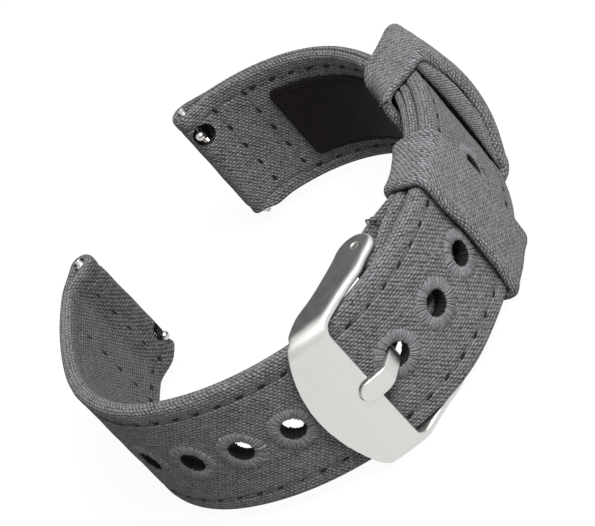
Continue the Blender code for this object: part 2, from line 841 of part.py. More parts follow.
def bar_frame(bar_at, bar_level):
    """Bar axis point with the heading and the inward direction of the loop there."""
    _, along, outward = loop_frame(bar_at)
    axis = loop_point(bar_at, bar_level, 0.0)
    return axis, along.to_3d(), -outward.to_3d()


def turned_bar_tube(name, length, far_bore, lip_both):
    """Spring bar tube along Z: bored from the top, and bored below for a fixed tip or right through."""
    top = length / 2
    neck = TIP_RADIUS + NECK_GAP
    profile = [
        (neck, top),
        (BAR_RADIUS - BAR_CHAMFER, top),
        (BAR_RADIUS, top - BAR_CHAMFER),
        (BAR_RADIUS, BAR_CHAMFER - top),
        (BAR_RADIUS - BAR_CHAMFER, -top),
    ]
    if lip_both:
        profile += [(neck, -top), (neck, LIP - top), (BAR_BORE_RADIUS, LIP - top)]
    else:
        profile += [(BAR_BORE_RADIUS, -top), (BAR_BORE_RADIUS, far_bore - top)]
        profile += [(0.0, far_bore - top), (0.0, top - BORE_DEPTH), (BAR_BORE_RADIUS, top - BORE_DEPTH)]
    profile += [(BAR_BORE_RADIUS, top - LIP), (neck, top - LIP)]
    return turned(name, profile)


def turned_plunger(name, top, tip_end, shank):
    """Sprung tip of a bar whose tube ends at `top`: a thin pin on a longer shank, along Z."""
    shoulder = top - LIP - NECK_GAP
    profile = [
        (0.0, tip_end),
        (TIP_RADIUS - BAR_CHAMFER, tip_end),
        (TIP_RADIUS, tip_end - BAR_CHAMFER),
        (TIP_RADIUS, shoulder),
        (PLUNGER_RADIUS, shoulder),
        (PLUNGER_RADIUS, shoulder - shank),
        (0.0, shoulder - shank),
    ]
    return turned(name, profile)


def coil_spring(name, low, high, turns):
    """Compression spring along Z between two heights."""
    points_per_turn = 8
    low += SPRING_WIRE_RADIUS
    high -= SPRING_WIRE_RADIUS
    points = []
    for i in range(turns * points_per_turn + 1):
        angle = 2 * math.pi * i / points_per_turn
        height = low + (high - low) * i / (turns * points_per_turn)
        points.append((SPRING_RADIUS * math.cos(angle), SPRING_RADIUS * math.sin(angle), height))
    return tube(name, points, SPRING_WIRE_RADIUS, sides=4)


def stand_on(shape, axis, side=1.0):
    """Moves a shape made along Z onto a bar axis, upside down where `side` is -1."""
    for vert in shape.verts:
        vert.co = (axis.x + vert.co.x, axis.y + side * vert.co.y, side * vert.co.z)


def build_release_bar(prefix, bar_at, bar_level, side, finish, spring_finish):
    """Quick-release spring bar: tube, fixed tip, spring, and a sprung tip with its release knob."""
    axis, along, inward = bar_frame(bar_at, bar_level)
    top = BAR_LENGTH / 2
    knob_place = side * (top - KNOB_FROM_END)

    shape = turned_bar_tube(f"{prefix}_bar_tube", BAR_LENGTH, FIXED_SHANK_LENGTH + SEAT_GAP, False)
    stand_on(shape, axis, side)
    tube_piece = make_object(f"{prefix}_bar_tube", shape, finish, axis)
    slot_half = KNOB_STEM_RADIUS + BAR_GAP
    ends = sorted((knob_place + side * slot_half, knob_place - side * (RELEASE_TRAVEL + slot_half)))
    slot = block((-slot_half, 0.0, ends[0]), (slot_half, BAR_RADIUS + OVERRUN, ends[1]))
    for vert in slot.verts:
        x, y, z = vert.co
        vert.co = axis + x * along + y * inward + Vector((0.0, 0.0, z))
    combine(tube_piece, cutter(f"{prefix}_slot_cutter", slot), "DIFFERENCE")

    shoulder = -top - NECK_GAP
    collar = shoulder - COLLAR_LENGTH
    profile = [
        (0.0, FIXED_SHANK_LENGTH - top),
        (PLUNGER_RADIUS, FIXED_SHANK_LENGTH - top),
        (PLUNGER_RADIUS, shoulder),
        (BAR_RADIUS, shoulder),
        (BAR_RADIUS, collar),
        (TIP_RADIUS, collar),
        (TIP_RADIUS, BAR_CHAMFER - BAR_SPAN / 2),
        (TIP_RADIUS - BAR_CHAMFER, -BAR_SPAN / 2),
        (0.0, -BAR_SPAN / 2),
    ]
    shape = turned(f"{prefix}_bar_fixed_tip", profile)
    stand_on(shape, axis, side)
    make_object(f"{prefix}_bar_fixed_tip", shape, finish, axis)

    shape = turned_plunger(f"{prefix}_bar_release_tip", top, BAR_SPAN / 2, PLUNGER_LENGTH)
    stand_on(shape, axis, side)
    plunger = make_object(f"{prefix}_bar_release_tip", shape, finish, axis)
    steps = 8
    start = math.asin(KNOB_STEM_RADIUS / KNOB_RADIUS)
    profile = [(0.0, KNOB_HEIGHT + KNOB_RADIUS)]
    for i in range(1, steps + 1):
        angle = (math.pi - start) * i / steps
        profile.append((KNOB_RADIUS * math.sin(angle), KNOB_HEIGHT + KNOB_RADIUS * math.cos(angle)))
    profile += [(KNOB_STEM_RADIUS, 0.0), (0.0, 0.0)]
    knob = turned(f"{prefix}_knob", profile, steps=12)
    for vert in knob.verts:
        x, y, z = vert.co
        vert.co = axis + x * along + z * inward + Vector((0.0, 0.0, y + knob_place))
    combine(plunger, cutter(f"{prefix}_knob_tool", knob), "UNION")

    spring_low = top - BORE_DEPTH + BAR_GAP
    spring_high = top - LIP - NECK_GAP - PLUNGER_LENGTH - BAR_GAP
    shape = coil_spring(f"{prefix}_bar_spring", spring_low, spring_high, SPRING_TURNS)
    stand_on(shape, axis, side)
    make_object(f"{prefix}_bar_spring", shape, spring_finish, axis)


def build_buckle_bar(finish, spring_finish):
    """Plain spring bar of the buckle: tube, one spring and a sprung tip at each end."""
    axis, _, _ = bar_frame(HINGE_AT, HINGE_LEVEL)
    shape = turned_bar_tube("buckle_bar_tube", BUCKLE_BAR_LENGTH, 0.0, True)
    stand_on(shape, axis)
    make_object("buckle_bar_tube", shape, finish, axis)
    top = BUCKLE_BAR_LENGTH / 2
    for name, side in (("buckle_bar_tip_upper", 1.0), ("buckle_bar_tip_lower", -1.0)):
        shape = turned_plunger(name, top, top + BUCKLE_TIP_REACH, BUCKLE_SHANK_LENGTH)
        stand_on(shape, axis, side)
        make_object(name, shape, finish, axis)
    reach = top - LIP - NECK_GAP - BUCKLE_SHANK_LENGTH - BAR_GAP
    shape = coil_spring("buckle_bar_spring", -reach, reach, BUCKLE_SPRING_TURNS)
    stand_on(shape, axis)
    make_object("buckle_bar_spring", shape, spring_finish, axis)


def smooth_line(points, steps):
    """Points of a smooth curve through the given ones."""
    line = []
    padded = [points[0]] + list(points) + [points[-1]]
    for before, start, end, after in zip(padded, padded[1:], padded[2:], padded[3:]):
        for i in range(steps):
            t = i / steps
            line.append(tuple(
                0.5 * (
                    2 * start[k]
                    + (end[k] - before[k]) * t
                    + (2 * before[k] - 5 * start[k] + 4 * end[k] - after[k]) * t * t
                    + (3 * start[k] - before[k] - 3 * end[k] + after[k]) * t * t * t
                )
                for k in (0, 1)
            ))
    line.append(points[-1])
    return line


def arm_outline():
    """Side outline of a buckle arm, (along the loop, level): round eye, waist and nose."""
    nose_at = PLATE_FRONT + ARM_NOSE_FROM_PLATE_FRONT
    nose_level = (PLATE_UNDER + PLATE_TOP) / 2
    run = nose_at - HINGE_AT
    rise = nose_level - HINGE_LEVEL
    upper = [(HINGE_AT, HINGE_LEVEL + EYE_RADIUS)]
    lower = [(HINGE_AT, HINGE_LEVEL - EYE_RADIUS)]
    for along_share, rise_share, half_share in ARM_LINE_SHARES:
        at = HINGE_AT + along_share * run
        level = HINGE_LEVEL + rise_share * rise
        upper.append((at, level + half_share * EYE_RADIUS))
        lower.append((at, level - half_share * EYE_RADIUS))
    upper.append((nose_at, nose_level))
    eye = corner_arc((HINGE_AT, HINGE_LEVEL), EYE_RADIUS, -math.pi / 2, math.pi, 12)
    over = smooth_line(upper, 2)
    under = smooth_line(lower + [upper[-1]], 2)
    return eye + over[1:] + under[-2:0:-1]


def plate_outline():
    """Plan of the buckle's front plate, (along the loop, across): bowed front and round corners."""
    half = BUCKLE_HALF
    slope = 2 * PLATE_BOW * (half - PLATE_CORNER) / half ** 2
    tilt = math.atan(slope)
    edge = half - PLATE_CORNER + PLATE_CORNER * math.sin(tilt)

    def front(across):
        return PLATE_FRONT + PLATE_BOW * (across / half) ** 2

    steps = 8
    bow = [(front(edge * i / steps), edge * i / steps) for i in range(-steps + 1, steps)]
    centre = (front(edge) + PLATE_CORNER * math.cos(tilt), half - PLATE_CORNER)
    corner = corner_arc(centre, PLATE_CORNER, math.pi - tilt, tilt - math.pi / 2, 4)
    near = corner + [(PLATE_BACK, half)]
    far = [(at, -across) for at, across in near]
    return bow + near + far[::-1]


def build_buckle(finish):
    """Buckle frame: two shaped arms and a bowed front plate with a recess for the tang's tip."""
    hinge = loop_point(HINGE_AT, HINGE_LEVEL, 0.0)
    inset = [
        (at, across * (BUCKLE_HALF - SIDE_STEP) / BUCKLE_HALF) for at, across in plate_outline()
    ]
    shape = flat_pattern("buckle_frame", [inset], PLATE_THICKNESS, PLATE_EDGE_ROUND, round_steps=1)
    cut_across(shape, even_stations(PLATE_FRONT + PLATE_BOW, PLATE_BACK - SNAP, PLATE_CUT_STEP))
    middle = (PLATE_UNDER + PLATE_TOP) / 2
    for vert in shape.verts:
        vert.co = (vert.co.x, middle - vert.co.z, vert.co.y)
    bend_on_loop(shape)
    frame = make_object("buckle_frame", shape, finish, hinge)
    for name, side in (("upper_arm_tool", 1.0), ("lower_arm_tool", -1.0)):
        arm = flat_pattern(name, [arm_outline()], ARM_THICKNESS, ARM_EDGE_ROUND, round_steps=1)
        for vert in arm.verts:
            vert.co.z += side * (WINDOW_HALF + ARM_THICKNESS / 2)
        combine(frame, cutter(name, arm, bend_on_loop), "UNION")
    half = TANG_TIP_WIDTH / 2 + TANG_RECESS_SIDE
    low_corner = (PLATE_BACK - TANG_TIP_OVERLAP - TANG_RECESS_SIDE, -half)
    high_corner = (PLATE_BACK + half + OVERRUN, half)
    recess = flat_pattern(
        "recess_tool",
        [rounded_rectangle(low_corner, high_corner, half * TANG_RECESS_CORNER_SHARE)],
        2 * OVERRUN,
        0.0,
    )
    floor = PLATE_TOP - TANG_RECESS_DEPTH
    for vert in recess.verts:
        vert.co = (vert.co.x, floor + OVERRUN - vert.co.z, vert.co.y)
    combine(frame, cutter("recess_tool", recess, bend_on_loop), "DIFFERENCE")
    reach = BUCKLE_HALF + OVERRUN
    radius = TIP_RADIUS + BAR_GAP
    hole = turned("eye_tool", [(0.0, reach), (radius, reach), (radius, -reach), (0.0, -reach)])
    stand_on(hole, hinge)
    combine(frame, cutter("eye_tool", hole), "DIFFERENCE")
    return frame


def build_tang(finish):
    """Tang: a flat blank curled round the bar, led up through its eyelet and over the front plate."""
    hinge = loop_point(HINGE_AT, HINGE_LEVEL, 0.0)
    curl_radius = BAR_RADIUS + BAR_GAP + TANG_THICKNESS / 2
    curl_arc = corner_arc((0.0, 0.0), curl_radius, TANG_CURL_START, TANG_CURL_TURN, 16)
    curl = [off_bar(HINGE_AT, HINGE_LEVEL, forward, outward) for forward, outward in curl_arc]
    shank = [(HINGE_AT + curl_arc[-1][0], HINGE_LEVEL + curl_arc[-1][1])]
    low_hole = (TANG_AT, LONG_INNER_LEVEL)
    high_hole = (TANG_AT, LONG_OUTER_LEVEL + PLY_GAP)
    seat = PLATE_TOP - TANG_RECESS_DEPTH + CLOTH_GAP + TANG_THICKNESS / 2
    rest = (PLATE_BACK - TANG_TIP_OVERLAP, seat)
    for start, end, shares in (
        ((HINGE_AT, HINGE_LEVEL), low_hole, TANG_UNDER_SHARES),
        (high_hole, rest, TANG_OVER_SHARES),
    ):
        for along_share, rise_share in shares:
            at = start[0] + (end[0] - start[0]) * along_share
            shank.append((at, start[1] + (end[1] - start[1]) * rise_share))
    route = FoldRoute(curl[:-1] + [on_loop(*spot) for spot in smooth_line(shank, 4)])
    half = TANG_WIDTH / 2
    wide = TANG_TIP_WIDTH / 2
    flare_end = route.length - TANG_HEAD_LENGTH
    tip = corner_arc((route.length - wide, 0.0), wide, -math.pi / 2, math.pi, 8)
    side = [(0.0, -half), (flare_end - TANG_FLARE_LENGTH, -half), (flare_end, -wide)]
    outline = side + tip + [(x, -y) for x, y in side[::-1]]
    shape = flat_pattern("tang", [outline], TANG_THICKNESS, TANG_EDGE_ROUND)
    cut_across(shape, route.lengths[1:-1])
    route.bend(shape)
    return make_object("tang", shape, finish, hinge)


def settle_on_ground():
    """Parents every piece to one empty that puts the loop's middle and lowest point at the origin."""
    root = bpy.data.objects.new("canvas_watch_strap", None)
    STRAP.objects.link(root)
    graph = bpy.context.evaluated_depsgraph_get()
    pieces = [piece for piece in STRAP.objects if piece.type == "MESH"]
    low = [math.inf] * 3
    high = [-math.inf] * 3
    for piece in pieces:
        evaluated = piece.evaluated_get(graph)
        mesh = evaluated.to_mesh()
        for vert in mesh.vertices:
            spot = evaluated.matrix_world @ vert.co
            for k in range(3):
                low[k] = min(low[k], spot[k])
                high[k] = max(high[k], spot[k])
        evaluated.to_mesh_clear()
    root.location = (-(low[0] + high[0]) / 2, -(low[1] + high[1]) / 2, -low[2])
    for piece in pieces + list(CUTTERS.objects):
        piece.parent = root


def main():
    """Builds the whole strap."""
    clear_scene()
    bpy.context.scene.collection.children.link(STRAP)
    bpy.context.scene.collection.children.link(CUTTERS)
    canvas = Finish("grey_canvas", (0.135, 0.135, 0.145), 0.95)
    band = Finish("keeper_canvas", (0.20, 0.20, 0.21), 0.95)
    thread = Finish("grey_thread", (0.155, 0.155, 0.17), 0.85)
    leather = Finish("dark_leather", (0.022, 0.015, 0.012), 0.6)
    brushed = Finish("brushed_steel", (0.66, 0.65, 0.63), 0.34, 1.0)
    bar_steel = Finish("bar_steel", (0.55, 0.55, 0.55), 0.25, 1.0)
    spring_steel = Finish("spring_steel", (0.42, 0.42, 0.44), 0.3, 1.0)

    build_long_canvas(canvas)
    build_short_canvas(canvas)
    build_leather(leather)
    for number, place in enumerate(EYELET_PLACES, start=1):
        build_eyelet(number, place, thread)
    inner_low = SHORT_INNER_FACE - CLOTH_GAP
    snug = (
        STRAP_THICKNESS + CLOTH_GAP + EYELET_RING_HEIGHT + CLOTH_GAP - FIXED_KEEPER_ARCH,
        FIXED_KEEPER_ARCH + CLOTH_GAP,
    )
    build_keeper("fixed_keeper", FIXED_KEEPER_AT, FIXED_KEEPER_WIDTH, inner_low, *snug, band)
    build_keeper(
        "floating_keeper", FLOATING_KEEPER_AT, FLOATING_KEEPER_WIDTH,
        LEATHER_UNDER - CLOTH_GAP, STRAP_THICKNESS + FLOATING_KEEPER_RISE,
        FLOATING_KEEPER_ARCH, band, FLOATING_KEEPER_TILT, FLOATING_KEEPER_SLANT, snug[0], keeper_centre(),
    )
    build_release_bar("long", LONG_BAR_AT, LONG_BAR_LEVEL, -1.0, bar_steel, spring_steel)
    build_release_bar("short", SHORT_BAR_AT, SHORT_BAR_LEVEL, 1.0, bar_steel, spring_steel)
    build_buckle(brushed)
    build_buckle_bar(bar_steel, spring_steel)
    build_tang(brushed)
    settle_on_ground()


main()
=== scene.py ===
"""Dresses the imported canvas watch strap: woven canvas, stitches, eyelets, leather and steel.

Lengths inside the classes are millimetres along the strap's loop line; meshes are written in metres.
"""
import json
import logging
import math
import random
from collections.abc import Callable, Iterable, Iterator, Sequence
from contextlib import contextmanager
from dataclasses import dataclass, field
from enum import Enum

import bmesh
import bpy
import numpy as np
from mathutils import Matrix, Vector


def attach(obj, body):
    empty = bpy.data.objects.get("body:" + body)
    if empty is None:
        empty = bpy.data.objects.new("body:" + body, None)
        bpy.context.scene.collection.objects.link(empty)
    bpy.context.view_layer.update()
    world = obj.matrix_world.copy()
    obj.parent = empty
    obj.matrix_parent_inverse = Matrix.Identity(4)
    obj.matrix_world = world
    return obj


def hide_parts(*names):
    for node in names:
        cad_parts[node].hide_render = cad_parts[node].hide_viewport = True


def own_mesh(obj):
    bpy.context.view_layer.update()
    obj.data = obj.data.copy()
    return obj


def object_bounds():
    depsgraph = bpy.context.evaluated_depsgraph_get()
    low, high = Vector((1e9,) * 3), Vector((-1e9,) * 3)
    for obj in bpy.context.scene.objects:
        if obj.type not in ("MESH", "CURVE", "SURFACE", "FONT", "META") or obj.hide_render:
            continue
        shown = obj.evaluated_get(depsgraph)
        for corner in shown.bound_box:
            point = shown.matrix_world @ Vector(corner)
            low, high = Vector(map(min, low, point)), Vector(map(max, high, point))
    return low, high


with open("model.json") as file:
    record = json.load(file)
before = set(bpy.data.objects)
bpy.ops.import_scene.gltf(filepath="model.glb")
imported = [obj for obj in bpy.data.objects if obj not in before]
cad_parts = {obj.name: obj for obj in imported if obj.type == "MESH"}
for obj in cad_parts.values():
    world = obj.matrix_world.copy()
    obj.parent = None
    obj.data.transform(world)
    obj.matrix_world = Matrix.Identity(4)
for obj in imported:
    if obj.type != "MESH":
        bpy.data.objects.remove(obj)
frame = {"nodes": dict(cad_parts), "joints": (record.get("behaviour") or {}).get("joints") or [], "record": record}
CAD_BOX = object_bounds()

LOG = logging.getLogger("watch_strap")
MM = 0.001
ROW_STEP = 0.5
EASE_STEPS = 18
TURN_STEPS = 16
Socket = bpy.types.NodeSocket
Inputs = dict[int | str, object]


class Side(Enum):
    """The two long edges of the strap; UPPER is the one that faces up where the loop lies."""

    UPPER = 1
    LOWER = -1


class Face(Enum):
    """Which way a band's seen face lies from the path that the band follows."""

    RIGHT = 1
    LEFT = -1


# ---------------------------------------------------------------- node trees and finishes


class NodeTree:
    """Short calls for the nodes of one tree."""

    def __init__(self, tree: bpy.types.NodeTree) -> None:
        """Takes the tree that the nodes go into."""
        self.tree = tree

    def node(self, kind: str, inputs: Inputs | None = None, **settings: object) -> bpy.types.Node:
        """Adds a node.

        Args:
            kind: The node's type.
            inputs: Socket or value for each input, by its index or name.
            settings: The node's properties.

        Returns:
            The node.
        """
        made = self.tree.nodes.new(kind)
        for key, value in settings.items():
            setattr(made, key, value)
        for key, value in (inputs or {}).items():
            self.feed(made.inputs[key], value)
        return made

    def out(self, kind: str, inputs: Inputs | None = None, **settings: object) -> Socket:
        """Adds a node and returns its first output."""
        return self.node(kind, inputs, **settings).outputs[0]

    def feed(self, socket: Socket, value: object) -> None:
        """Links a socket to another or gives it a value."""
        if isinstance(value, Socket):
            self.tree.links.new(value, socket)
        else:
            socket.default_value = value

    def math(self, operation: str, *values: object) -> Socket:
        """Adds a Math node and returns its output."""
        return self.out("ShaderNodeMath", dict(enumerate(values)), operation=operation)


class Shader(NodeTree):
    """A material's node tree round one Principled BSDF."""

    def __init__(self, name: str, roughness: float, metallic: float = 0.0) -> None:
        """Starts a material.

        Args:
            name: The material's name.
            roughness: Its roughness where nothing varies it.
            metallic: 1 for bare metal.
        """
        self.material = bpy.data.materials.new(name)
        self.material.use_nodes = True
        super().__init__(self.material.node_tree)
        self.surface = self.tree.nodes["Principled BSDF"]
        self.dress({"Roughness": roughness, "Metallic": metallic})

    def dress(self, sockets: Inputs) -> bpy.types.Material:
        """Feeds sockets of the surface and gives the material."""
        for name, value in sockets.items():
            self.feed(self.surface.inputs[name], value)
        return self.material

    def clamped(self, value: Socket) -> Socket:
        """Holds a value between 0 and 1."""
        return self.math("MINIMUM", self.math("MAXIMUM", value, 0.0), 1.0)

    def split(self, vector: Socket) -> Sequence[Socket]:
        """The three parts of a vector."""
        return self.node("ShaderNodeSeparateXYZ", {0: vector}).outputs

    def noise(self, where: Socket, scale: float, detail: float = 2.0) -> Socket:
        """Adds a noise texture and returns its value."""
        return self.out("ShaderNodeTexNoise", {"Vector": where, "Scale": scale, "Detail": detail})

    def ramp(self, value: Socket, colour: Sequence[float], stops: Sequence[tuple[float, float]]) -> Socket:
        """Adds a ramp of one colour through (place, lightness) stops."""
        made = self.node("ShaderNodeValToRGB", {"Fac": value})
        for _ in stops[2:]:
            made.color_ramp.elements.new(0.5)
        for element, (place, lightness) in zip(made.color_ramp.elements, stops):
            element.position = place
            element.color = (*tone(colour, lightness), 1.0)
        return made.outputs[0]

    def bump(self, height: Socket, strength: float, distance: float, below: Socket | None = None) -> Socket:
        """Adds a bump over another one and returns its normal."""
        sockets = {"Strength": strength, "Distance": distance, "Height": height}
        if below is not None:
            sockets["Normal"] = below
        return self.out("ShaderNodeBump", sockets)

    def coordinates(self, kind: str) -> Socket:
        """Object or UV coordinates."""
        return self.node("ShaderNodeTexCoord").outputs[kind]


def tone(colour: Sequence[float], factor: float) -> tuple[float, float, float]:
    """A colour made lighter or darker by one factor."""
    return tuple(channel * factor for channel in colour)


@dataclass(frozen=True)
class CanvasFinish:
    """Plain-woven canvas read from a UV map in millimetres."""

    name: str
    colour: tuple[float, float, float]
    pick: float = 0.34
    yarn: float = 0.46
    slant: float = 0.55
    rise: float = 0.45
    sunk: float = 0.70
    slack: float = 2.15
    wander: float = 1500.0
    drift: tuple[float, float] = (1.3, 0.9)
    relief: float = 0.16
    sheen: float = 0.12
    # Where painted shade darkens the seen face of the inner ply, and by how much.
    painted_shade_from: float | None = None
    painted_shade_run: float = 5.0
    painted_shade_middle: float = 32.8
    painted_shade_dim: float = 0.42

    def painted_lining_shade(self, shader: Shader) -> Socket:
        """Painted shade: factor that darkens the seen face of the ply inside the loop, where the loop shades it,
        and is 1 elsewhere.
        """
        place = shader.split(shader.coordinates("UV"))
        run = 1.0 / self.painted_shade_run
        past = shader.clamped(shader.math("MULTIPLY_ADD", place[0], run, -run * self.painted_shade_from))
        aside = shader.math("ABSOLUTE", shader.math("SUBTRACT", place[1], self.painted_shade_middle))
        inside = shader.clamped(shader.math("MULTIPLY_ADD", aside, -1.0, SIZES.half_width))
        return shader.math("MULTIPLY_ADD", shader.math("MULTIPLY", past, inside), -self.painted_shade_dim, 1.0)

    def floats(self, shader: Shader) -> tuple[Socket, Socket, Socket]:
        """Height of the yarns, and one random value for each float and for each yarn."""
        wander = shader.node("ShaderNodeTexNoise", {
            "Vector": shader.coordinates("Object"), "Scale": self.wander, "Detail": 2.0})
        drift = shader.split(wander.outputs["Color"])
        place = shader.split(shader.coordinates("UV"))
        across = shader.math("MULTIPLY_ADD", place[1], 1.0 / self.yarn,
                             shader.math("MULTIPLY", drift[1], self.drift[1]))
        row = shader.math("FLOOR", across)
        over_row = shader.math("SUBTRACT", shader.math("FRACT", across), 0.5)
        along = shader.math("MULTIPLY_ADD", place[0], 1.0 / self.pick,
                            shader.math("MULTIPLY", drift[0], self.drift[0]))
        along = shader.math("MULTIPLY_ADD", over_row, self.slant, along)
        column = shader.math("FLOOR", along)
        over_column = shader.math("SUBTRACT", shader.math("FRACT", along), 0.5)
        odd = shader.math("FLOORED_MODULO", shader.math("ADD", row, column), 2.0)
        turn = shader.math("MULTIPLY_ADD", odd, -2.0 * self.rise, self.rise)

        def bend(over: Socket) -> Socket:
            """How far a yarn has risen or dived at a share of its float."""
            angle = shader.math("MULTIPLY", over, math.pi)
            return shader.math("MULTIPLY", turn, shader.math("COSINE", angle))

        def crown(over: Socket) -> Socket:
            """Round section of a yarn."""
            wide = shader.math("MULTIPLY", over, self.slack)
            return shader.math("SQRT", shader.math("MAXIMUM", shader.math(
                "SUBTRACT", 1.0, shader.math("MULTIPLY", wide, wide)), 0.0))

        warp = shader.math("ADD", bend(over_column), crown(over_row))
        weft = shader.math("SUBTRACT", crown(over_column), shader.math("ADD", bend(over_row), self.sunk))
        height = shader.math("DIVIDE", shader.math("MAXIMUM", warp, weft), 1.0 + self.rise)
        cell = shader.out("ShaderNodeCombineXYZ", {0: column, 1: row})
        chance = shader.node("ShaderNodeTexWhiteNoise", {"Vector": cell}, noise_dimensions="3D")
        strand = shader.node("ShaderNodeTexWhiteNoise", {"W": row}, noise_dimensions="1D")
        return height, chance.outputs["Value"], strand.outputs["Value"]

    def material(self) -> bpy.types.Material:
        """Builds the weave: crossing yarns, painted shade in the hollows between their floats and loose fibres."""
        shader = Shader(self.name, roughness=0.95)
        place = shader.coordinates("Object")
        height, luck, strand = self.floats(shader)
        fibre = shader.noise(place, 5200.0, 2.0)
        blotch = shader.noise(place, 320.0, 3.0)
        # Painted shade and highlight: the colour follows the yarns' height, dark in the hollows between floats and
        # light on their crowns; luck, strand, fibre and blotch add the yarns' own random tone.
        light = shader.math("MULTIPLY_ADD", height, 0.95, -0.68)
        for part, share in ((luck, 0.34), (strand, 0.08), (fibre, 0.85), (blotch, 0.20)):
            light = shader.math("MULTIPLY_ADD", part, share, light)
        colour = shader.ramp(light, self.colour, ((0.02, 0.10), (0.30, 0.42), (0.56, 1.00), (1.00, 1.80)))
        # Painted shade on the seen face inside the loop.
        if self.painted_shade_from is not None:
            colour = shader.out("ShaderNodeVectorMath", {0: colour, "Scale": self.painted_lining_shade(shader)},
                                operation="SCALE")
        normal = shader.bump(height, 1.0, self.relief * MM)
        return shader.dress({
            "Base Color": colour, "Normal": shader.bump(fibre, 0.6, 0.07 * MM, normal),
            "Sheen Weight": self.sheen, "Sheen Roughness": 0.6, "Specular IOR Level": 0.12,
        })


@dataclass(frozen=True)
class ThreadFinish:
    """Spun thread with a soft fibre grain."""

    name: str
    colour: tuple[float, float, float]

    def material(self) -> bpy.types.Material:
        """Builds the thread's fibre grain."""
        shader = Shader(self.name, roughness=0.85)
        fibre = shader.noise(shader.coordinates("Object"), 4200.0, 3.0)
        return shader.dress({
            "Base Color": shader.ramp(fibre, self.colour, ((0.25, 0.5), (0.55, 1.0), (0.85, 1.5))),
            "Normal": shader.bump(fibre, 0.6, 0.05 * MM), "Specular IOR Level": 0.2,
        })


@dataclass(frozen=True)
class LeatherFinish:
    """Smooth dark leather with a fine grain."""

    name: str
    colour: tuple[float, float, float]

    def material(self) -> bpy.types.Material:
        """Builds the grain and the faint scuffs."""
        shader = Shader(self.name, roughness=0.8)
        place = shader.coordinates("Object")
        cells = shader.node("ShaderNodeTexVoronoi", {"Vector": place, "Scale": 2300.0},
                            feature="DISTANCE_TO_EDGE")
        mottle = shader.noise(place, 500.0, 4.0)
        normal = shader.bump(cells.outputs["Distance"], 0.35, 0.08 * MM)
        return shader.dress({
            "Base Color": shader.ramp(mottle, self.colour, ((0.30, 0.65), (0.55, 1.0), (0.80, 1.6))),
            "Roughness": shader.math("MULTIPLY_ADD", mottle, 0.25, 0.62),
            "Normal": shader.bump(mottle, 0.3, 0.25 * MM, normal), "Specular IOR Level": 0.10,
        })


@dataclass(frozen=True)
class SteelFinish:
    """Steel, brushed along one axis or polished."""

    name: str
    colour: tuple[float, float, float]
    roughness: float
    brushing: tuple[float, float, float] = (700.0, 700.0, 12000.0)
    scratch: float = 0.10

    def material(self) -> bpy.types.Material:
        """Builds fine brushing lines in the roughness and the normal."""
        shader = Shader(self.name, self.roughness, metallic=1.0)
        place = shader.coordinates("Object")
        stretched = shader.out("ShaderNodeMapping", {"Vector": place, "Scale": self.brushing})
        lines = shader.noise(stretched, 1.0, 3.0)
        rough = shader.math("MULTIPLY_ADD", lines, self.scratch, self.roughness - self.scratch / 2)
        return shader.dress({
            "Base Color": shader.ramp(lines, self.colour, ((0.25, 0.92), (0.75, 1.04))),
            "Roughness": shader.math("MULTIPLY_ADD", shader.noise(place, 300.0), 0.06, rough),
            "Normal": shader.bump(lines, 0.10, 0.02 * MM),
        })


@dataclass(frozen=True)
class Finishes:
    """Every material of the strap, made once."""

    canvas: bpy.types.Material
    long_canvas: bpy.types.Material
    keeper: bpy.types.Material
    strip: bpy.types.Material
    thread: bpy.types.Material
    eyelet: bpy.types.Material
    needle: bpy.types.Material
    hollow: bpy.types.Material
    leather: bpy.types.Material
    leather_thread: bpy.types.Material
    brushed: bpy.types.Material
    polished: bpy.types.Material

    @classmethod
    def make(cls) -> "Finishes":
        """Builds the whole set."""
        grey = (0.150, 0.150, 0.158)
        return cls(
            canvas=CanvasFinish("woven_canvas", grey).material(),
            # The long strap's canvas, with painted shade on its inner ply's seen face.
            long_canvas=CanvasFinish("woven_long_canvas_painted_shade", grey, painted_shade_from=131.0).material(),
            keeper=CanvasFinish("woven_keeper", tone(grey, 1.12)).material(),
            # Canvas made 1.3 times lighter: painted light on the loose keeper's inner ply, which faces up.
            strip=CanvasFinish("woven_strip_painted_light", tone(grey, 1.30), pick=0.24, yarn=0.30, relief=0.07).material(),
            thread=ThreadFinish("sewing_thread", tone(grey, 0.85)).material(),
            eyelet=ThreadFinish("eyelet_thread", tone(grey, 1.40)).material(),
            # Near-black needle spots: painted shade in the needle holes.
            needle=ThreadFinish("needle_shade", tone(grey, 0.10)).material(),
            # Near-black: painted shade on the notch's cut walls and down the eyelets' bores.
            hollow=ThreadFinish("hole_shade", tone(grey, 0.12)).material(),
            leather=LeatherFinish("dark_leather_face", (0.0105, 0.0080, 0.0070)).material(),
            leather_thread=ThreadFinish("leather_thread", (0.010, 0.008, 0.008)).material(),
            brushed=SteelFinish("satin_steel", (0.70, 0.69, 0.67), 0.34).material(),
            polished=SteelFinish("pin_steel", (0.66, 0.63, 0.60), 0.20, scratch=0.04).material(),
        )


# ---------------------------------------------------------------- the loop line


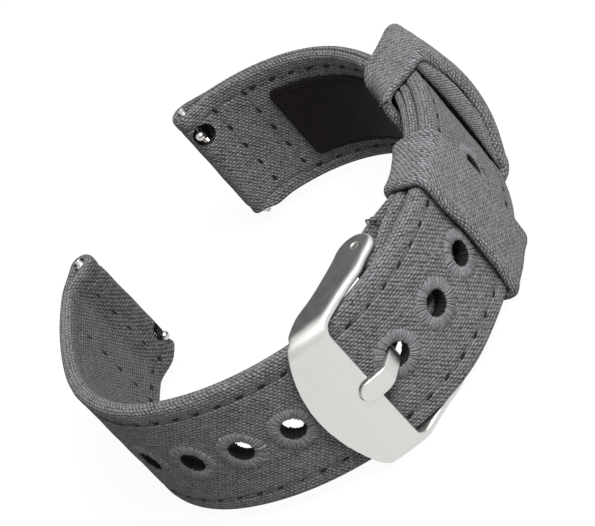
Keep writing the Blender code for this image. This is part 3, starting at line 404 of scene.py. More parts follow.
@dataclass(frozen=True)
class Sizes:
    """Sizes, in millimetres, that the CAD part and its dress share."""

    arcs: tuple[tuple[float, float], ...] = (
        (24.0, 56.5), (22.0, 24.5), (24.0, 38.5), (18.0, 21.5), (51.5, 39.5), (33.5, 28.5),
    )
    half_width: float = 11.0
    thickness: float = 2.2
    ply: float = 0.9
    cloth_gap: float = 0.15
    fold_ease: float = 5.5
    bar_radius: float = 0.9
    bar_gap: float = 0.12
    long_bar: tuple[float, float] = (1.6, -0.4)
    short_bar: tuple[float, float] = (171.4, -1.25)
    hinge: tuple[float, float] = (85.2, -2.7)
    tail: float = 126.5
    tail_point: float = 7.0
    seam: tuple[float, float] = (132.5, 133.1)
    eyelets: tuple[float, ...] = tuple(38.0 + 8.0 * i for i in range(10))
    tang_eyelet: float = 78.0
    keeper_middle: float = 101.0
    keeper_radius: float = 39.5

    @property
    def fold_radius(self) -> float:
        """Radius of the canvas's middle where it turns round a bar."""
        return self.bar_radius + self.bar_gap + self.ply / 2


SIZES = Sizes()


class LoopLine:
    """The line between the two straps, as tangent arcs from the long strap's lug end."""

    def __init__(self, keeper_axis: Sequence[float], middle: float) -> None:
        """Places the line so that its keeper arc turns about the CAD's keeper axis.

        Args:
            keeper_axis: The loose keeper's hinge point, in metres.
            middle: Height of the strap's mid-width, in metres.
        """
        self.shift = np.zeros(2)
        point, _, outward = self.frame(SIZES.keeper_middle)
        centre = point - SIZES.keeper_radius * outward
        self.shift = np.array(keeper_axis[:2]) / MM - centre
        self.middle = middle / MM

    def frame(self, at: float) -> tuple[np.ndarray, np.ndarray, np.ndarray]:
        """Point, heading and outward direction at a place along the line."""
        point = np.array(self.shift, float)
        heading, left = 0.0, at
        for index, (run, radius) in enumerate(SIZES.arcs):
            step = left if index == len(SIZES.arcs) - 1 or left < run else run
            turn = step / radius
            point = point + radius * np.array([
                math.sin(heading + turn) - math.sin(heading),
                math.cos(heading) - math.cos(heading + turn),
            ])
            heading += turn
            left -= step
            if left <= 0.0:
                break
        along = np.array([math.cos(heading), math.sin(heading)])
        return point, along, np.array([along[1], -along[0]])

    def spot(self, at: float, level: float) -> np.ndarray:
        """Point in the loop's plane, in millimetres."""
        point, _, outward = self.frame(at)
        return point + level * outward

    def place(self, at: float, level: float, across: float) -> Vector:
        """World point, in metres."""
        x, y = self.spot(at, level)
        return Vector((x * MM, y * MM, (across + self.middle) * MM))

    def radius(self, at: float) -> float:
        """Radius of the arc that holds a place."""
        end = 0.0
        radius = SIZES.arcs[-1][1]
        for run, radius in SIZES.arcs:
            end += run
            if at < end:
                break
        return radius


def keeper_joint() -> Sequence[float]:
    """Axis point of the loose keeper's joint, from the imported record."""
    for joint in frame["joints"]:
        if joint["name"] == "keeper_slide":
            return joint["pos_m"]
    raise RuntimeError("the keeper's joint is missing")


LOOP = LoopLine(keeper_joint(), (CAD_BOX[0].z + CAD_BOX[1].z) / 2)


def clamped(value: float) -> float:
    """Holds a value between 0 and 1."""
    return min(max(value, 0.0), 1.0)


def eased(share: float) -> float:
    """Eases a share from 0 to 1 with level ends."""
    return share * share * (3.0 - 2.0 * share)


def level_by_fold(at: float, bar: tuple[float, float], run: float, sign: float) -> float:
    """Level of a ply's middle where it eases from its run to a fold.

    Args:
        at: Loop place.
        bar: Loop place and level of the fold's bar.
        run: Level of the ply away from the fold.
        sign: +1 where the ply passes on the bar's outer side.

    Returns:
        The level at that place.
    """
    share = clamped(1.0 - abs(at - bar[0]) / SIZES.fold_ease)
    return run + (bar[1] + sign * SIZES.fold_radius - run) * eased(share)


@dataclass
class Path:
    """A path in the loop's plane: loop places, points and developed lengths."""

    places: list[float] = field(default_factory=list)
    points: list[np.ndarray] = field(default_factory=list)

    def add(self, at: float, point: np.ndarray) -> None:
        """Adds a point that differs from the last."""
        if not self.points or np.linalg.norm(point - self.points[-1]) > 1e-4:
            self.places.append(at)
            self.points.append(point)

    def run(self, start: float, end: float, level: float | Callable[[float], float],
            step: float = 0.5) -> "Path":
        """Adds a run along the loop at one level, or at a level that changes."""
        count = max(1, math.ceil(abs(end - start) / step))
        for i in range(count + 1):
            at = start + (end - start) * i / count
            height = level(at) if callable(level) else level
            self.add(at, LOOP.spot(at, height))
        return self

    def fold(self, bar: tuple[float, float], side: float, first: float, levels: tuple[float, float],
             radius: float, ease: float = SIZES.fold_ease, slack: float = 0.0) -> "Path":
        """Adds an ease in, a half turn round a bar and an ease out.

        Args:
            bar: Loop place and level of the bar's axis.
            side: Way along the loop that the fold's tip points.
            first: +1 where the path comes in on the outer side.
            levels: Levels of the runs before and after.
            radius: Radius of the turn.
            ease: Length of the easing runs.
            slack: How far both runs belly to the first run's side.
        """
        legs: tuple[list, list] = ([], [])
        for i in range(EASE_STEPS + 1):
            share = i / EASE_STEPS
            at = bar[0] - side * ease * (1.0 - share)
            belly = first * slack * math.sin(math.pi * share) ** 2
            for leg, level, sign in zip(legs, levels, (first, -first)):
                height = level + (bar[1] + sign * radius - level) * eased(share) + belly
                leg.append((at, LOOP.spot(at, height)))
        _, along, outward = LOOP.frame(bar[0])
        centre = LOOP.spot(*bar)
        for at, point in legs[0]:
            self.add(at, point)
        for i in range(1, TURN_STEPS):
            angle = math.pi * i / TURN_STEPS
            forward = side * radius * math.sin(angle)
            self.add(bar[0] + forward, centre + forward * along + first * radius * math.cos(angle) * outward)
        for at, point in reversed(legs[1]):
            self.add(at, point)
        return self

    def arrays(self) -> tuple[np.ndarray, np.ndarray, np.ndarray, np.ndarray]:
        """Places, points, right-hand sides and developed lengths."""
        points = np.array(self.points)
        steps = np.diff(points, axis=0)
        lengths = np.concatenate([[0.0], np.cumsum(np.linalg.norm(steps, axis=1))])
        steps /= np.linalg.norm(steps, axis=1)[:, None]
        sides = np.stack([steps[:, 1], -steps[:, 0]], axis=1)
        sides = np.concatenate([sides[:1], sides[:-1] + sides[1:], sides[-1:]])
        sides /= np.linalg.norm(sides, axis=1)[:, None]
        return np.array(self.places), points, sides, lengths


# ---------------------------------------------------------------- mesh helpers


def add_object(name: str, mesh: bpy.types.Mesh,
               material: bpy.types.Material | None = None) -> bpy.types.Object:
    """Links an object for a mesh, with one material."""
    piece = bpy.data.objects.new(name, mesh)
    bpy.context.scene.collection.objects.link(piece)
    if material is not None:
        mesh.materials.clear()
        mesh.materials.append(material)
    return piece


def smooth(mesh: bpy.types.Mesh, degrees: float = 40.0) -> None:
    """Shades a mesh smooth up to an angle."""
    mesh.shade_smooth()
    mesh.set_sharp_from_angle(angle=math.radians(degrees))


@contextmanager
def reshaped(mesh: bpy.types.Mesh) -> Iterator[bmesh.types.BMesh]:
    """Opens a mesh, which may still be empty, for the bmesh tools and writes it back."""
    shape = bmesh.new()
    if mesh.vertices:
        shape.from_mesh(mesh)
    yield shape
    shape.to_mesh(mesh)
    shape.free()


def face_out(mesh: bpy.types.Mesh, even: bool = False, merge: float = 0.0) -> None:
    """Makes a closed mesh's faces point outwards.

    Args:
        mesh: The mesh.
        even: True where its faces don't all turn one way yet.
        merge: Distance within which doubles are merged first.
    """
    with reshaped(mesh) as shape:
        if merge > 0.0:
            bmesh.ops.remove_doubles(shape, verts=shape.verts, dist=merge)
        if even:
            bmesh.ops.recalc_face_normals(shape, faces=shape.faces)
        if shape.calc_volume(signed=True) < 0.0:
            bmesh.ops.reverse_faces(shape, faces=shape.faces)


def new_mesh(name: str, verts: Sequence[Sequence[float]], faces: Sequence[tuple[int, ...]],
             uvs: Sequence[tuple[float, float]] = (), even: bool = False) -> bpy.types.Mesh:
    """Closed mesh that faces outwards.

    Args:
        name: The mesh's name.
        verts: Points, in metres.
        faces: Corner indices of each face.
        uvs: UV of each face corner, in millimetres of cloth.
        even: True where the faces don't all turn one way yet.

    Returns:
        The mesh.
    """
    mesh = bpy.data.meshes.new(name)
    mesh.from_pydata(np.asarray(verts, float).tolist(), [], faces)
    if uvs:
        layer = mesh.uv_layers.new(name="UVMap")
        layer.data.foreach_set("uv", np.array(uvs, np.float32).ravel())
    mesh.update()
    face_out(mesh, even)
    return mesh


def ring_faces(rings: int, count: int, closed: bool = False) -> list[tuple[int, ...]]:
    """Quads between successive rings of points, and from the last to the first where closed."""
    faces = []
    for i in range(rings if closed else rings - 1):
        a, b = i * count, (i + 1) % rings * count
        for k in range(count):
            n = (k + 1) % count
            faces.append((a + k, b + k, b + n, a + n))
    return faces


def end_caps(rings: int, count: int) -> list[tuple[int, ...]]:
    """The first and last faces of a run of rings."""
    last = (rings - 1) * count
    return [tuple(range(count)), tuple(range(last, last + count))[::-1]]


def round_lengths(rings: np.ndarray) -> np.ndarray:
    """Developed lengths round each closed ring of points, from zero to the whole."""
    gaps = np.linalg.norm(np.roll(rings, -1, axis=1) - rings, axis=2)
    return np.concatenate([np.zeros((len(rings), 1)), np.cumsum(gaps, axis=1)], axis=1)


def skin(name: str, verts: Sequence[Sequence[float]], along: Sequence[float], rounds: np.ndarray,
         section: Sequence[Sequence[float]] | None = None) -> bpy.types.Mesh:
    """Cloth over rings of points, with a UV map in millimetres.

    Args:
        name: The mesh's name.
        verts: Points of all rings, in metres.
        along: Length at each ring, and once more at the end where the rings close on themselves.
        rounds: Lengths round each ring, from zero to the whole.
        section: Flat section that closes both ends of an open run.

    Returns:
        The closed mesh.
    """
    rings, count = len(rounds), rounds.shape[1] - 1
    faces = ring_faces(rings, count, section is None)
    uvs: list[tuple[float, float]] = []
    for i in range(len(along) - 1):
        first, second = rounds[i], rounds[(i + 1) % rings]
        for k in range(count):
            uvs += [(along[i], first[k]), (along[i + 1], second[k]),
                    (along[i + 1], second[k + 1]), (along[i], first[k + 1])]
    if section is not None:
        caps = end_caps(rings, count)
        faces += caps
        uvs += [tuple(section[k % count][:2]) for cap in caps for k in cap]
    return new_mesh(name, verts, faces, uvs)


def evaluated_mesh(piece: bpy.types.Object) -> bpy.types.Mesh:
    """Plain mesh of an object with its modifiers."""
    graph = bpy.context.evaluated_depsgraph_get()
    return bpy.data.meshes.new_from_object(piece.evaluated_get(graph))


def settle(piece: bpy.types.Object) -> bpy.types.Object:
    """Replaces an object's mesh by its evaluated one and drops the modifiers."""
    mesh = evaluated_mesh(piece)
    piece.modifiers.clear()
    old = piece.data
    piece.data = mesh
    if isinstance(old, bpy.types.Mesh):
        bpy.data.meshes.remove(old)
    return piece


def cut(piece: bpy.types.Object, tools: Sequence[bpy.types.Object]) -> None:
    """Cuts several tools out of a piece and removes them."""
    for tool in tools:
        modifier = piece.modifiers.new("cut", "BOOLEAN")
        modifier.operation = "DIFFERENCE"
        modifier.solver = "EXACT"
        modifier.material_mode = "TRANSFER"
        modifier.object = tool
    settle(piece)
    for tool in tools:
        bpy.data.objects.remove(tool)


def ride(piece: bpy.types.Object, body: str, nodes: Iterable[str] = ()) -> bpy.types.Object:
    """Makes a piece ride on a body and stand for CAD nodes."""
    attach(piece, body)
    nodes = tuple(nodes)
    if nodes:
        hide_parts(*nodes)
    LOG.info("%s: %d faces on %s", piece.name, len(piece.data.polygons), body)
    return piece


Lift = Callable[[np.ndarray, np.ndarray, np.ndarray], np.ndarray]


@dataclass
class Band:
    """A flat band with round edges, bent along a path."""

    path: Path
    half_width: float
    thickness: float
    edge: float
    hidden_edge: float | None = None
    width_at: Callable[[float, float, float], float] | None = None
    rows: tuple[float, ...] = ()
    spread: float = 0.9
    seen: Face = Face.RIGHT
    dent: Lift | None = None
    edge_steps: int = 4
    pinch: Callable[[float], float] | None = None

    def across(self) -> np.ndarray:
        """Sample places over the flat, closer together at the stitch rows."""
        flat = self.half_width - max(self.edge, self.hidden_edge or 0.0)
        count = max(2, math.ceil(2 * flat / self.spread))
        samples = list(np.linspace(-flat, flat, count + 1))
        for row in self.rows:
            samples += [row + offset for offset in (-0.55, -0.35, -0.18, 0.0, 0.18, 0.35, 0.55)]
        samples = sorted(value for value in samples if abs(value) < flat)
        kept = [-flat]
        for value in samples:
            if value - kept[-1] > 0.12:
                kept.append(value)
        if flat - kept[-1] < 0.12:
            kept.pop()
        return np.array(kept + [flat])

    def section(self) -> list[tuple[float, float, float]]:
        """Section points as (across, lift, face), the face being 1 or -1 on the flats."""
        half, thick = self.half_width, self.thickness / 2
        other = self.edge if self.hidden_edge is None else self.hidden_edge
        right, left = (self.edge, other) if self.seen is Face.RIGHT else (other, self.edge)
        flat = self.across()
        points = [(value, thick, 1.0) for value in flat]
        turns = [math.pi / 2 * i / self.edge_steps for i in range(self.edge_steps + 1)]
        for sign in (1.0, -1.0):
            first, second = (right, left) if sign > 0 else (left, right)
            for turn in turns[1:]:
                points.append((sign * (half - first + first * math.sin(turn)),
                               sign * (thick - first + first * math.cos(turn)), 0.0))
            start = 1 if thick * 2 - first - second < 0.02 else 0
            for turn in turns[start:-1]:
                points.append((sign * (half - second + second * math.cos(turn)),
                               -sign * (thick - second + second * math.sin(turn)), 0.0))
            if sign > 0:
                points += [(value, -thick, -1.0) for value in flat[::-1]]
        return points

    def build(self, name: str) -> bpy.types.Mesh:
        """Makes the mesh, with a UV map in millimetres of canvas."""
        section = np.array(self.section())
        places, points, sides, lengths = self.path.arrays()
        rings = [self.ring(section, *row, lengths[-1]) for row in zip(places, points, sides, lengths)]
        rounds = np.tile(round_lengths(section[None, :, :2]), (len(rings), 1))
        mesh = skin(name, np.concatenate(rings) * MM, lengths, rounds, section)
        mesh.shade_smooth()
        return mesh

    def ring(self, section: np.ndarray, at: float, point: np.ndarray, side: np.ndarray, along: float,
             total: float) -> np.ndarray:
        """World points, in millimetres, of one section."""
        width = self.half_width if self.width_at is None else self.width_at(at, along, total)
        across = section[:, 0] * (max(width, 0.05) / self.half_width)
        if self.pinch is not None:
            across = np.where(across < 0.0, across * (1.0 - self.pinch(at) / self.half_width), across)
        lift = section[:, 1]
        if self.dent is not None:
            face = section[:, 2] * self.seen.value
            lift = lift + self.seen.value * self.dent(np.full(len(across), at), across, face)
        plane = point[None, :] + lift[:, None] * side[None, :]
        return np.column_stack([plane, across + LOOP.middle])


def radial_cutter(at: float, across: float, radius: float, low: float, high: float,
                  finish: bpy.types.Material | None = None) -> bpy.types.Object:
    """Closed cylinder along the strap's outward direction, for holes."""
    _, along, outward = LOOP.frame(at)
    turn = Matrix(((along[0], 0.0, outward[0]), (along[1], 0.0, outward[1]), (0.0, 1.0, 0.0))).to_4x4()
    matrix = Matrix.Translation(LOOP.place(at, (low + high) / 2, across)) @ turn
    mesh = bpy.data.meshes.new("hole")
    with reshaped(mesh) as shape:
        bmesh.ops.create_cone(shape, cap_ends=True, segments=32, radius1=radius * MM, radius2=radius * MM,
                              depth=(high - low) * MM)
        bmesh.ops.transform(shape, matrix=matrix, verts=shape.verts)
    face_out(mesh, even=True)
    return add_object("hole", mesh, finish)


# ---------------------------------------------------------------- geometry node trees


class NodeGraph(NodeTree):
    """A Geometry Nodes group with named inputs, run once on a carrier object."""

    def __init__(self, name: str, sizes: Sequence[tuple[str, str, object]]) -> None:
        """Starts a group that takes and gives a geometry.

        Args:
            name: The group's name.
            sizes: Name, kind and default of each further input.
        """
        super().__init__(bpy.data.node_groups.new(name, "GeometryNodeTree"))
        face = self.tree.interface
        for way in ("INPUT", "OUTPUT"):
            face.new_socket("Geometry", in_out=way, socket_type="NodeSocketGeometry")
        self.sockets: dict[str, str] = {}
        for size, kind, default in sizes:
            made = face.new_socket(size, in_out="INPUT", socket_type=f"NodeSocket{kind}")
            if default is not None:
                made.default_value = default
            self.sockets[size] = made.identifier
        self.given = self.node("NodeGroupInput").outputs

    def run(self, carrier: bpy.types.Object, values: dict[str, object]) -> bpy.types.Object:
        """Runs the group on a carrier and leaves a plain mesh.

        Args:
            carrier: Object whose geometry feeds the group.
            values: Input values by name.

        Returns:
            The carrier, holding the finished mesh.
        """
        modifier = carrier.modifiers.new("made", "NODES")
        modifier.node_group = self.tree
        for name, value in values.items():
            modifier[self.sockets[name]] = value
        settle(carrier)
        smooth(carrier.data, 60.0)
        return carrier


def stitch_graph() -> NodeGraph:
    """Stitches along edges: sunk threads at each pitch and, between them, a dark spot of painted shade in the
    needle hole.
    """
    graph = NodeGraph("stitch_row", (
        ("Pitch", "Float", 3.2 * MM), ("Length", "Float", 2.5 * MM), ("Thread", "Float", 0.2 * MM),
        ("Spot", "Float", 0.2 * MM), ("Spot Length", "Float", 0.9 * MM), ("Lean", "Float", 0.25),
        ("Seed", "Int", 1), ("Thread Finish", "Material", None), ("Spot Finish", "Material", None),
    ))
    given = graph.given
    curve = graph.out("GeometryNodeMeshToCurve", {"Mesh": given["Geometry"]})
    half = graph.math("DIVIDE", given["Pitch"], 2.0)
    spaced = graph.out("GeometryNodeResampleCurve", {"Curve": curve, "Length": half}, mode="LENGTH")
    odd = graph.math("MODULO", graph.out("GeometryNodeInputIndex"), 2.0)
    even = graph.math("SUBTRACT", 1.0, odd)
    upward = graph.out("GeometryNodeInputNamedAttribute", {"Name": "up"}, data_type="FLOAT_VECTOR")
    tangent = graph.out("GeometryNodeInputTangent")
    ahead = graph.out("FunctionNodeAlignRotationToVector", {"Vector": tangent}, axis="X")
    turned = graph.out("FunctionNodeAlignRotationToVector", {"Rotation": ahead, "Vector": upward},
                       axis="Z", pivot_axis="X")
    wobble = graph.out("FunctionNodeRandomValue", {
        0: (-0.06, -0.06, -0.10), 1: (0.06, 0.06, 0.10), "Seed": given["Seed"]}, data_type="FLOAT_VECTOR")
    spin = graph.out("FunctionNodeEulerToRotation", {0: wobble})
    loose = graph.out("FunctionNodeRotateRotation", {0: turned, 1: spin}, rotation_space="LOCAL")
    joined = graph.node("GeometryNodeJoinGeometry")
    for length, girth, depth, pick, finish in (
        ("Length", "Thread", 1.0, even, "Thread Finish"),
        ("Spot Length", "Spot", 0.55, odd, "Spot Finish"),
    ):
        size = graph.out("ShaderNodeCombineXYZ", {
            0: graph.math("MULTIPLY", given[length], 0.5), 1: given[girth],
            2: graph.math("MULTIPLY", given[girth], depth)})
        ball = graph.out("GeometryNodeMeshUVSphere", {"Segments": 8, "Rings": 6, "Radius": 1.0})
        shaped = graph.node("GeometryNodeTransform", {"Geometry": ball, "Scale": size})
        if girth == "Spot":
            graph.feed(shaped.inputs["Rotation"], graph.out("ShaderNodeCombineXYZ", {2: given["Lean"]}))
        placed = graph.out("GeometryNodeInstanceOnPoints", {
            "Points": spaced, "Selection": pick, "Instance": shaped.outputs[0], "Rotation": loose})
        real = graph.out("GeometryNodeRealizeInstances", {"Geometry": placed})
        dressed = graph.out("GeometryNodeSetMaterial", {"Geometry": real, "Material": given[finish]})
        graph.feed(joined.inputs["Geometry"], dressed)
    graph.node("NodeGroupOutput", {"Geometry": joined.outputs[0]})
    return graph


def buttonhole_graph() -> NodeGraph:
    """Buttonhole threads: one thread repeated round a hole, each a little different."""
    graph = NodeGraph("buttonhole", (
        ("Threads", "Int", 40), ("Seed", "Int", 1), ("Fray", "Float", 0.5), ("Fray From", "Float", 2.7 * MM),
        ("Fray To", "Float", 3.7 * MM), ("Finish", "Material", None),
    ))
    given = graph.given
    points = graph.out("GeometryNodePoints", {"Count": given["Threads"]})
    share = graph.math("DIVIDE", graph.out("GeometryNodeInputIndex"), given["Threads"])
    stray = graph.node("FunctionNodeRandomValue", {2: -0.035, 3: 0.035, "Seed": given["Seed"]},
                       data_type="FLOAT")
    angle = graph.math("ADD", graph.math("MULTIPLY", share, 2.0 * math.pi), stray.outputs[1])
    spin = graph.out("FunctionNodeEulerToRotation", {0: graph.out("ShaderNodeCombineXYZ", {2: angle})})
    reach = graph.out("FunctionNodeRandomValue", {
        0: (0.955, 0.75, 0.85), 1: (1.025, 1.15, 1.15), "Seed": given["Seed"]}, data_type="FLOAT_VECTOR")
    placed = graph.out("GeometryNodeInstanceOnPoints", {
        "Points": points, "Instance": given["Geometry"], "Rotation": spin, "Scale": reach})
    real = graph.out("GeometryNodeRealizeInstances", {"Geometry": placed})
    spot = graph.out("GeometryNodeInputPosition")
    distance = graph.node("ShaderNodeVectorMath", {0: spot}, operation="LENGTH").outputs["Value"]
    outer = graph.out("ShaderNodeMapRange", {
        "Value": distance, "From Min": given["Fray From"], "From Max": given["Fray To"]})
    patch = graph.out("ShaderNodeTexNoise", {"Scale": 1.1 / MM, "Vector": spot, "W": given["Seed"]},
                      noise_dimensions="4D")
    push = graph.math("MULTIPLY", graph.math("SUBTRACT", patch, 0.5), outer)
    push = graph.math("MULTIPLY", push, given["Fray"])
    offset = graph.out("ShaderNodeVectorMath", {0: spot, "Scale": push}, operation="SCALE")
    frayed = graph.out("GeometryNodeSetPosition", {"Geometry": real, "Offset": offset})
    dressed = graph.out("GeometryNodeSetMaterial", {"Geometry": frayed, "Material": given["Finish"]})
    graph.node("NodeGroupOutput", {"Geometry": dressed})
    return graph


@dataclass(frozen=True)
class StitchRow:
    """One row of stitches, as points in (loop place, level, across) and which way is up from the face."""

    points: tuple[tuple[float, float, float], ...]
    up: Face


def straight_row(start: tuple[float, float], end: tuple[float, float], level: float, up: Face) -> StitchRow:
    """A row between two (loop place, across) points at one level."""
    count = max(2, math.ceil(math.dist(start, end) / ROW_STEP))
    at, across = end[0] - start[0], end[1] - start[1]
    return StitchRow(tuple(
        (start[0] + at * i / count, level, start[1] + across * i / count) for i in range(count + 1)), up)


@dataclass
class Sewing:
    """Makes stitch rows into one mesh."""

    graph: NodeGraph
    pitch: float = 3.5
    length: float = 2.5
    thread: float = 0.15
    spot: float = 0.30
    spot_length: float = 1.35
    lean: float = 0.18

    def sew(self, name: str, rows: Sequence[StitchRow], thread: bpy.types.Material,
            spot: bpy.types.Material, seed: int) -> bpy.types.Object:
        """Runs the stitch tree over rows.

        Args:
            name: The piece's name.
            rows: Rows to sew.
            thread: Thread's material.
            spot: Material of the needle spots, painted shade in the needle holes.
            seed: Seed of the small turns of each stitch.

        Returns:
            The object that holds the stitches.
        """
        verts, edges, ups = [], [], []
        for row in rows:
            base = len(verts)
            for at, level, across in row.points:
                verts.append(LOOP.place(at, level, across))
                _, _, outward = LOOP.frame(at)
                ups.append((row.up.value * outward[0], row.up.value * outward[1], 0.0))
            edges += [(base + i, base + i + 1) for i in range(len(row.points) - 1)]
        mesh = bpy.data.meshes.new(name)
        mesh.from_pydata([tuple(v) for v in verts], edges, [])
        layer = mesh.attributes.new("up", "FLOAT_VECTOR", "POINT")
        layer.data.foreach_set("vector", np.array(ups, np.float32).ravel())
        carrier = add_object(name, mesh)
        return self.graph.run(carrier, {
            "Pitch": self.pitch * MM,
            "Length": self.length * MM,
            "Thread": self.thread * MM,
            "Spot": self.spot * MM,
            "Spot Length": self.spot_length * MM,
            "Lean": self.lean,
            "Seed": seed,
            "Thread Finish": thread,
            "Spot Finish": spot,
        })


# ---------------------------------------------------------------- sub-assemblies


def row_dents(rows: Sequence[float], depth: float, pitch: float) -> Lift:
    """Channels that the stitch rows pull into a seen face.

    Args:
        rows: Places across of the rows.
        depth: Depth of each channel.
        pitch: Stitch pitch, for the deeper spot at each needle hole.

    Returns:
        A function of loop places, places across and face signs.
    """
    def lift(at: np.ndarray, across: np.ndarray, face: np.ndarray) -> np.ndarray:
        """Lift of each point of a section."""
        total = np.zeros_like(across)
        for row in rows:
            near = np.exp(-(((across - row) / 0.36) ** 2))
            pull = 0.75 + 0.25 * np.cos(2 * math.pi * at / pitch)
            total = total - depth * near * pull
        wave = 0.05 * np.sin(at * 0.9 + across * 0.35) * np.cos(at * 0.37 - across * 0.8)
        return np.where(face > 0.5, total + wave, 0.0)

    return lift


def lug_pinch(beyond: float) -> float:
    """How far the canvas's far edge draws in where it turns round a lug bar."""
    return 0.95 * math.exp(-(((beyond + 0.3) / 1.6) ** 2)) if abs(beyond) < 6.0 else 0.0


@dataclass
class Strap:
    """What both straps share: one folded canvas with sewn rows."""

    finishes: Finishes
    sewing: Sewing
    kind: str = ""
    ply: float = 1.0
    top: float = 0.0
    bottom: float = 0.0
    rows: tuple[float, ...] = ()
    cross_rows: tuple[float, ...] = ()
    cross: tuple[float, float] = (-8.2, 8.2)
    bar: tuple[float, float] = (0.0, 0.0)
    edges: tuple[float, float] = (0.8, 0.1)
    widest: tuple[float, float] = (83.0, 0.26)
    notch: tuple[float, ...] = ()
    dent: float = 0.22
    seed: int = 1

    @property
    def outer(self) -> float:
        """Level of the outer layer's middle."""
        return self.top - self.ply / 2

    @property
    def inner(self) -> float:
        """Level of the inner layer's middle."""
        return self.bottom + self.ply / 2

    def width_at(self, at: float, along: float, total: float) -> float:
        """Half width, a little wider in the buckle."""
        middle, more = self.widest
        return SIZES.half_width + more * math.exp(-(((at - middle) / 6.0) ** 2))

    def canvas(self, path: Path, seen: Face, tools: Sequence[bpy.types.Object],
               finish: bpy.types.Material) -> bpy.types.Object:
        """Bends the canvas along a path and cuts its holes.

        Args:
            path: The middle of the folded canvas.
            seen: Side of the path that shows.
            tools: Shapes to cut out, besides the knob's notch.
            finish: The canvas's material.

        Returns:
            The finished canvas.
        """
        way = 1.0 if seen is Face.LEFT else -1.0
        band = Band(path, SIZES.half_width, self.ply, *self.edges, self.width_at, self.rows, seen=seen,
                    dent=row_dents(self.rows, self.dent, self.sewing.pitch),
                    pinch=lambda at: lug_pinch(way * (at - self.bar[0])))
        name = f"{self.kind}_strap_canvas"
        piece = add_object(name, band.build(name), finish)
        # The notch's cut walls take the hole material: painted shade.
        cut(piece, [*tools, radial_cutter(*self.notch, finish=self.finishes.hollow)])
        piece.data.shade_smooth()
        return piece

    def mount(self, canvas: bpy.types.Object, rows: list[StitchRow]) -> None:
        """Sews the given rows and the two across the lug end, and mounts the whole strap."""
        for at in self.cross_rows:
            level = level_by_fold(at, self.bar, self.inner, -1.0) - self.ply / 2 + 0.03
            rows.append(straight_row((at, self.cross[0]), (at, self.cross[1]), level, Face.LEFT))
        ride(canvas, "strap", (f"{self.kind}_canvas",))
        stitches = self.sewing.sew(f"{self.kind}_strap_stitches", rows, self.finishes.thread,
                                   self.finishes.needle, self.seed)
        ride(stitches, "strap")


@dataclass
class LongStrap(Strap):
    """Long strap, with its eyelet holes and the round point of its tail."""

    kind: str = "long"
    ply: float = 1.09
    top: float = SIZES.thickness
    rows: tuple[float, ...] = (-8.45, 8.45)
    cross_rows: tuple[float, ...] = (4.6, 13.0)
    bar: tuple[float, float] = SIZES.long_bar
    edges: tuple[float, float] = (0.88, 0.03)
    notch: tuple[float, ...] = (1.75, -5.8, 1.3, -3.4, -1.2)
    seed: int = 3
    sewn: tuple[float, float] = (13.0, 119.0)
    sewn_inside: tuple[float, float] = (4.6, 72.0)
    hole: float = 2.05

    def width_at(self, at: float, along: float, total: float) -> float:
        """Half width, drawn in to the round point at both ends of the canvas."""
        left = min(along, total - along) / SIZES.tail_point
        if left < 1.0:
            return SIZES.half_width * math.sqrt(max(0.03, 1.0 - (1.0 - left) ** 4))
        return super().width_at(at, along, total)

    def build(self) -> None:
        """Builds the canvas and sews both edges, the inner layer's near one only."""
        path = Path().run(SIZES.tail, self.bar[0] + SIZES.fold_ease, self.outer)
        path.fold(self.bar, -1.0, 1.0, (self.outer, self.inner), SIZES.fold_radius + 0.02)
        path.run(self.bar[0] + SIZES.fold_ease, SIZES.tail, self.inner)
        holes = [radial_cutter(at, 0.0, self.hole, -0.4, SIZES.thickness + 0.5) for at in SIZES.eyelets]
        start, end = self.sewn
        rows = [straight_row((start, across), (end, across), self.top - 0.17, Face.RIGHT)
                for across in self.rows]
        start, end = self.sewn_inside
        rows.append(straight_row((start, self.rows[0]), (end, self.rows[0]), self.bottom + 0.10, Face.LEFT))
        self.mount(self.canvas(path, Face.LEFT, holes, self.finishes.long_canvas), rows)


